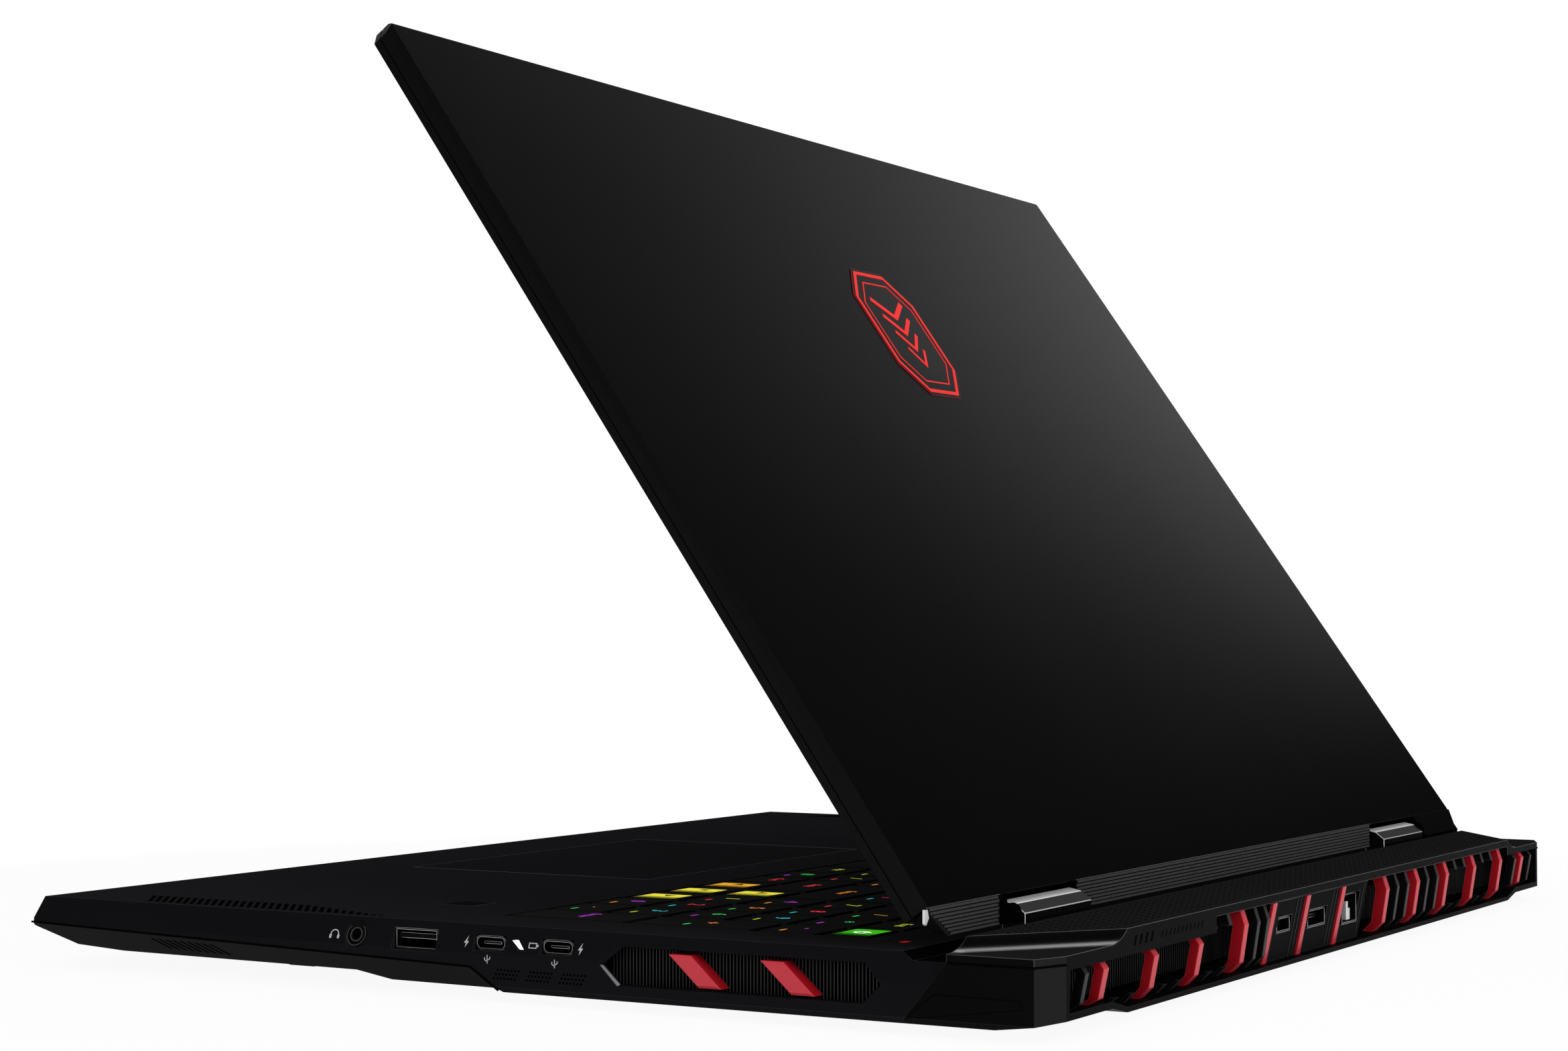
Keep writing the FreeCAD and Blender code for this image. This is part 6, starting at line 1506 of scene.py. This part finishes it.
@dataclass
class Lid:
    """Lid shell, screen, trim and emblem."""

    cell: Point2 = (0.86, 0.72)
    cell_pitch: Point2 = (1.05, 0.91)
    emblem_middle: float = 188.5
    lens_height: float = 266.0

    def emblem(self) -> None:
        """Plain emblem of nested lines and chevrons."""
        drawing = Drawing(LID_BACK)
        quarter = [(19.5, 13.475), (9.75, 24.5)]
        outline = quarter + [(-a, b) for a, b in reversed(quarter)]
        outline += [(-a, -b) for a, b in outline]
        low, high = 0.28, 0.42
        for share, width in ((0.93, 1.3), (0.78, 0.5)):
            points = [(a * share, b * share + self.emblem_middle) for a, b in outline]
            drawing.ribbon(points, width, low, high, True)
        for number in range(4):
            b = self.emblem_middle + 9.5 - number * 6.2
            reach = 10.0 - number * 1.6
            chevron = [(-reach, b + 3.0), (0.0, b - 3.4), (reach, b + 3.0)]
            drawing.ribbon(chevron, 1.9 - number * 0.25, low, high)
        drawing.piece("lid_emblem", LID, (BADGE_RED,))

    def weave(self) -> None:
        """Woven cells over the trim under the lid."""
        drawing = Drawing(TRIM_FACE)
        item = (self.cell[0], self.cell[1], -0.05, 0.2, 0.0, 0.12)
        along, up = self.cell_pitch
        for first, last, slant in ((-114.6, 114.6, 0.0), (-198.0, -159.9, 11.5)):
            middle = (first + last) / 2
            half = (last - first) / 2
            field = Field(int((last - first) / along), 8, along, up, along / 2, 0.0,
                          (slant - half, half - 0.4), (-half, half - 0.4))
            drawing.take(field.mesh("weave", block(*item), WEAVE), (middle, 3.7, 0.0))
        drawing.piece("lid_trim_weave", LID, (WEAVE,))

    def trim_corner(self) -> bpy.types.Mesh:
        """Slanted ends of the trim, as a cutter in metres."""
        cutter = Drawing(TRIM_FACE)
        cutter.plate([(-201.0, 7.3), (-201.0, -1.0), (-186.5, -1.0), (-199.1, 7.3)], -6.0, 2.0)
        cutter.plate([(201.0, 6.5), (199.6, 6.5), (195.2, -1.5), (201.0, -1.5)], -6.0, 2.0)
        return cutter.placed("trim_corner")

    def trim_ends(self) -> None:
        """Slanted strip of the trim, its corner in painted highlight and its left-hand skirt in painted
        shade.
        """
        strip = Drawing(TRIM_FACE)
        strip.plate([(-188.0, 0.0), (-186.0, 0.0), (-197.2, 7.0), (-199.0, 7.0)], -0.3, 0.15)
        # Painted highlight on the trim's lower corner.
        corner = [(-199.7, 3.9), (-199.2, 3.5), (-197.8, 5.1), (-198.5, 7.1), (-199.7, 7.1)]
        strip.plate(corner, -0.4, 0.3, 1)
        # Skirt of painted shade black beside the trim's left-hand end.
        skirt = Drawing(Plane((-199.0, 0.0, 0.0), (0, 1, 0), (0, 0, 1), True))
        profile = [(118.6, 25.7), (122.6, 19.95), (125.0, 20.8), (127.0, 24.6), (126.0, 25.7)]
        skirt.plate(profile, 4.0, 39.0, 2)
        PieceMaker.gathered("trim_ends", (strip, skirt), LID, (REAR_PLASTIC, SILVER_AND_PAINTED_HIGHLIGHT, PAINTED_SHADE_BLACK))

    def knuckle(self, side: str) -> None:
        """Hinge block with a painted highlight on its top and rims and painted shade on its slope.

        Args:
            side: right or left.
        """
        start = 115.5 if side == "right" else -154.9
        drawing = Drawing(Plane((start, 0.0, 0.0), (0, 1, 0), (0, 0, 1)))
        outline = [(119.6, 17.1), (125.8, 17.1), (125.8, 24.4), (123.0, 26.55), (119.6, 27.25)]
        drawing.plate(outline, 0.0, 39.4)
        shape = drawing.shape
        for face in shape.faces:
            face.normal_update()
            tilt = face.normal
            # Top and rims take the painted highlight silver, the slope the painted shade, the upright faces
            # gloss black.
            face.material_index = 2 if tilt.y > 0.94 else 3 if tilt.y > 0.5 else 0
        rims = [e for e in shape.edges
                if all(v.co.y > 17.2 for v in e.verts) or e.verts[0].co.y != e.verts[1].co.y]
        bmesh.ops.bevel(shape, geom=rims, offset=0.16, segments=1, affect="EDGES", material=1)
        piece = drawing.piece("hinge_knuckle_" + side + "_painted_light", BASE,
                              (GLOSS_BLACK, SILVER_AND_PAINTED_HIGHLIGHT, SILVER_AND_PAINTED_HIGHLIGHT, SLOPE_PAINTED_SHADE))
        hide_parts("hinge_knuckle_" + side)

    def lines(self) -> None:
        """Thin lines of painted highlight along the trim's upper edge."""
        matrix = TRIM_FACE.matrix()
        for name, first, last in (("middle", -114.8, 114.8), ("right", -198.6, -159.6)):
            path = [matrix @ Vector((a, 7.4, 0.02)) for a in (first, last)]
            PieceMaker.bead("trim_line_" + name, path, 0.14, LID, REAR_EDGE_HIGHLIGHT)

    def screen(self) -> None:
        """Camera lens and sound holes over the screen."""
        drawing = Drawing(SCREEN_FACE)
        # The lens ring takes the lighter edge copy: a painted highlight.
        drawing.ring((0.0, self.lens_height), 2.2, 0.3, 0.0, 0.05, 0)
        drawing.disc((0.0, self.lens_height), 1.3, 0.0, 0.04, 1)
        for side in (-1, 1):
            # Sound holes as dots of painted shade black.
            drawing.disc((side * 14.0, self.lens_height), 0.6, 0.0, 0.03, 2)
        drawing.piece("camera_lens", LID, (CASE_EDGE_HIGHLIGHT, GLOSS_BLACK, PAINTED_SHADE_BLACK))

    def build(self) -> None:
        """Dress the pieces of the lid."""
        make = PieceMaker
        flush = (lambda n, c: c.x < -159.4 and n.z > 0.4 and n.y > 0.7, LID_METAL)
        # The trim's end faces and faces turned down or forward, and the lid cover's faces turned down, get
        # painted shade black.
        ends = (lambda n, c: abs(n.x) > 0.2 or n.z < -0.2 or n.y < -0.2, PAINTED_SHADE_BLACK)
        below = (lambda n, c: n.y > 0.3 and n.z < -0.5, PAINTED_SHADE_BLACK)
        # Side faces take the lighter edge copy: a faint painted highlight.
        beside = (lambda n, c: abs(n.x) > 0.3, LID_EDGE_HIGHLIGHT)
        make.dressed("lid_back_cover", LID_METAL, LID_EDGE_HIGHLIGHT, 0.2, (below, beside))
        make.dressed("screen_bezel", CASE_PLASTIC, LID_EDGE_HIGHLIGHT, 0.2, (beside,))
        make.dressed("lid_trim", TRIM_BASE, TRIM_BASE, 0.1, (flush, ends), (self.trim_corner(),),
                     REAR_PLASTIC)
        make.paint("display_panel", SCREEN_GLASS)
        make.paint("webcam_module", SOCKET_BLACK)
        # Hinge pins and hinge arms sit in the hinge gap and are painted shade black.
        make.paint("hinge_pins", PAINTED_SHADE_BLACK)
        make.dressed("lid_badge", GLOSS_BLACK, RED_PLASTIC, 0.08)
        for side in ("right", "left"):
            make.dressed("hinge_arm_" + side, PAINTED_SHADE_BLACK, PAINTED_SHADE_BLACK, 0.15)
            self.knuckle(side)
        self.emblem()
        self.weave()
        self.trim_ends()
        self.lines()
        self.screen()


class Inside:
    """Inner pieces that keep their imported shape."""

    FINISHES = (
        ("main_board", BOARD), ("heat_spreader", COPPER), ("heat_pipes", COPPER),
        ("fan_housings", SOCKET_BLACK), ("battery_pack", BATTERY), ("memory_modules", BOARD),
        ("storage_drives", BOARD), ("wireless_card", BOARD), ("speakers", SOCKET_BLACK),
        ("touchpad_bracket", STEEL), ("fan_rotor_right", SOCKET_BLACK), ("fan_rotor_left", SOCKET_BLACK),
    )

    def build(self) -> None:
        """Paint each node."""
        for node, finish in self.FINISHES:
            PieceMaker.paint(node, finish)


@dataclass
class Studio:
    """Camera, pale floor and soft light."""

    place: Vector = Vector((0.809747, 0.434019, 0.097422))
    azimuth: float = 2.09169
    elevation: float = -0.0291951
    lens: float = 36.0 * 4421.763 / 2340.0
    wall: Point2 = (0.10, 0.02)
    box_low: Point2 = (0.226, 0.293)
    box_high: Point2 = (0.635, 0.001)
    box_side: Point2 = (0.15, -0.016)
    box_end: Point2 = (0.0, -0.5)
    box_light: float = 1.635
    spot_way: Point3 = (-0.79, -0.29, 0.54)
    spot: Point2 = (0.97, 0.995)
    spot_light: float = 2.5
    soft_light: float = 0.7
    dark_studio: float = 0.008
    floor_radius: float = 12.0
    floor_start: float = 0.2
    floor_end: float = 0.42
    floor_white: float = 0.93

    def camera(self) -> None:
        """Set the camera at the photograph's viewing angle."""
        data = bpy.data.cameras.new("camera")
        data.sensor_fit = "HORIZONTAL"
        data.sensor_width = 36.0
        data.lens = self.lens
        data.clip_start = 0.02
        data.clip_end = 100.0
        camera = shown("camera", data)
        camera.location = self.place
        level = math.cos(self.elevation)
        back = Vector((math.sin(self.azimuth) * level, -math.cos(self.azimuth) * level,
                       math.sin(self.elevation)))
        camera.rotation_mode = "QUATERNION"
        camera.rotation_quaternion = (-back).to_track_quat("-Z", "Y")
        bpy.context.scene.camera = camera

    def world(self) -> None:
        """White background, with a soft box to the left and a small spot over a dim studio."""
        world = bpy.data.worlds.new("studio")
        bpy.context.scene.world = world
        world.use_nodes = True
        world.node_tree.nodes.clear()
        make = TreeBuilder(world.node_tree)
        path = make.add("ShaderNodeLightPath").outputs
        way = make.add("ShaderNodeTexCoord").outputs["Generated"]
        split = make.add("ShaderNodeSeparateXYZ", {0: way}).outputs
        box = make.ramp(split["Z"], *self.box_low)
        for axis, limits in (("Z", self.box_high), ("Y", self.box_side), ("X", self.box_end)):
            box = make.math("MULTIPLY", box, make.ramp(split[axis], *limits))
        box = make.math("MULTIPLY", box, self.box_light)
        toward = make.add("ShaderNodeVectorMath", {0: way, 1: self.spot_way}, operation="DOT_PRODUCT")
        spot = make.math("MULTIPLY", make.ramp(toward.outputs["Value"], *self.spot), self.spot_light)
        studio = make.math("ADD", make.math("ADD", box, spot), self.dark_studio)
        mirrored = make.math("MAXIMUM", path["Is Glossy Ray"], path["Is Transmission Ray"])
        plain = make.math("MULTIPLY", mirrored, make.ramp(split["Z"], *self.wall))
        plain = make.math("MAXIMUM", plain, path["Is Camera Ray"])
        light = make.blend(mirrored, self.soft_light, studio)
        pure = (1.0, 1.0, 1.0, 1.0)
        around = make.add("ShaderNodeBackground", {"Color": pure, "Strength": light})
        white = make.add("ShaderNodeBackground", {"Color": pure, "Strength": 1.0})
        mix = make.add("ShaderNodeMixShader", {"Fac": plain, 1: around.outputs[0], 2: white.outputs[0]})
        make.add("ShaderNodeOutputWorld", {"Surface": mix.outputs[0]})

    def floor_material(self) -> bpy.types.Material:
        """Pale matt floor that runs into the white background.

        Returns:
            The floor's material.
        """
        material = bpy.data.materials.new("pale_floor")
        material.use_nodes = True
        tree = material.node_tree
        make = TreeBuilder(tree)
        matt = tree.nodes["Principled BSDF"]
        matt.inputs["Base Color"].default_value = (0.92, 0.92, 0.92, 1.0)
        matt.inputs["Roughness"].default_value = 0.9
        matt.inputs["Specular IOR Level"].default_value = 0.0
        place = make.add("ShaderNodeTexCoord").outputs["Object"]
        away = make.add("ShaderNodeVectorMath", {0: place}, operation="LENGTH")
        fade = make.ramp(away.outputs["Value"], self.floor_start, self.floor_end)
        path = make.add("ShaderNodeLightPath").outputs
        seen = make.math("MAXIMUM", path["Is Camera Ray"], path["Is Transmission Ray"])
        seen = make.math("MAXIMUM", seen, path["Is Glossy Ray"])
        share = make.math("MULTIPLY", seen, make.math("MAXIMUM", fade, self.floor_white))
        white = make.add("ShaderNodeEmission")
        mix = make.add("ShaderNodeMixShader", {"Fac": share, 1: matt.outputs[0], 2: white.outputs[0]})
        make.feed(mix.outputs[0], tree.nodes["Material Output"].inputs["Surface"])
        return material

    def floor(self) -> None:
        """Pale floor under the laptop."""
        shape = bmesh.new()
        bmesh.ops.create_circle(shape, cap_ends=True, segments=96, radius=self.floor_radius)
        mesh = bpy.data.meshes.new("floor")
        shape.to_mesh(mesh)
        shape.free()
        mesh.materials.append(self.floor_material())
        floor = shown("floor", mesh)

    def lamp(self, name: str, place: Point3, target: Point3, size: float, power: float) -> None:
        """Add a square soft lamp.

        Args:
            name: name of the lamp.
            place: where it stands.
            target: the point it faces.
            size: length of its side.
            power: watts.
        """
        data = bpy.data.lights.new(name, "AREA")
        data.shape = "SQUARE"
        data.size = size
        data.energy = power
        lamp = shown(name, data)
        lamp.visible_camera = False
        lamp.location = place
        lamp.rotation_mode = "QUATERNION"
        lamp.rotation_quaternion = (Vector(target) - Vector(place)).to_track_quat("-Z", "Y")

    def build(self) -> None:
        """Set the whole studio."""
        self.camera()
        self.world()
        self.floor()
        self.lamp("side_lamp", (1.9, 0.2, 1.0), (0.0, 0.0, 0.05), 1.2, 7.0)
        self.lamp("rear_lamp", (0.5, 2.0, 1.0), (0.0, 0.1, 0.05), 1.2, 20.0)


def main() -> None:
    """Build every sub-assembly in order."""
    logging.basicConfig(level=logging.INFO)
    scene = bpy.context.scene
    scene.view_settings.view_transform = "Standard"
    for kind in (Studio, Deck, SideWalls, Sockets, RearBlock, Underside, Keyboard, Lid, Inside):
        LOG.info("building %s", kind.__name__)
        kind().build()


if __name__ == "__main__":
    main()
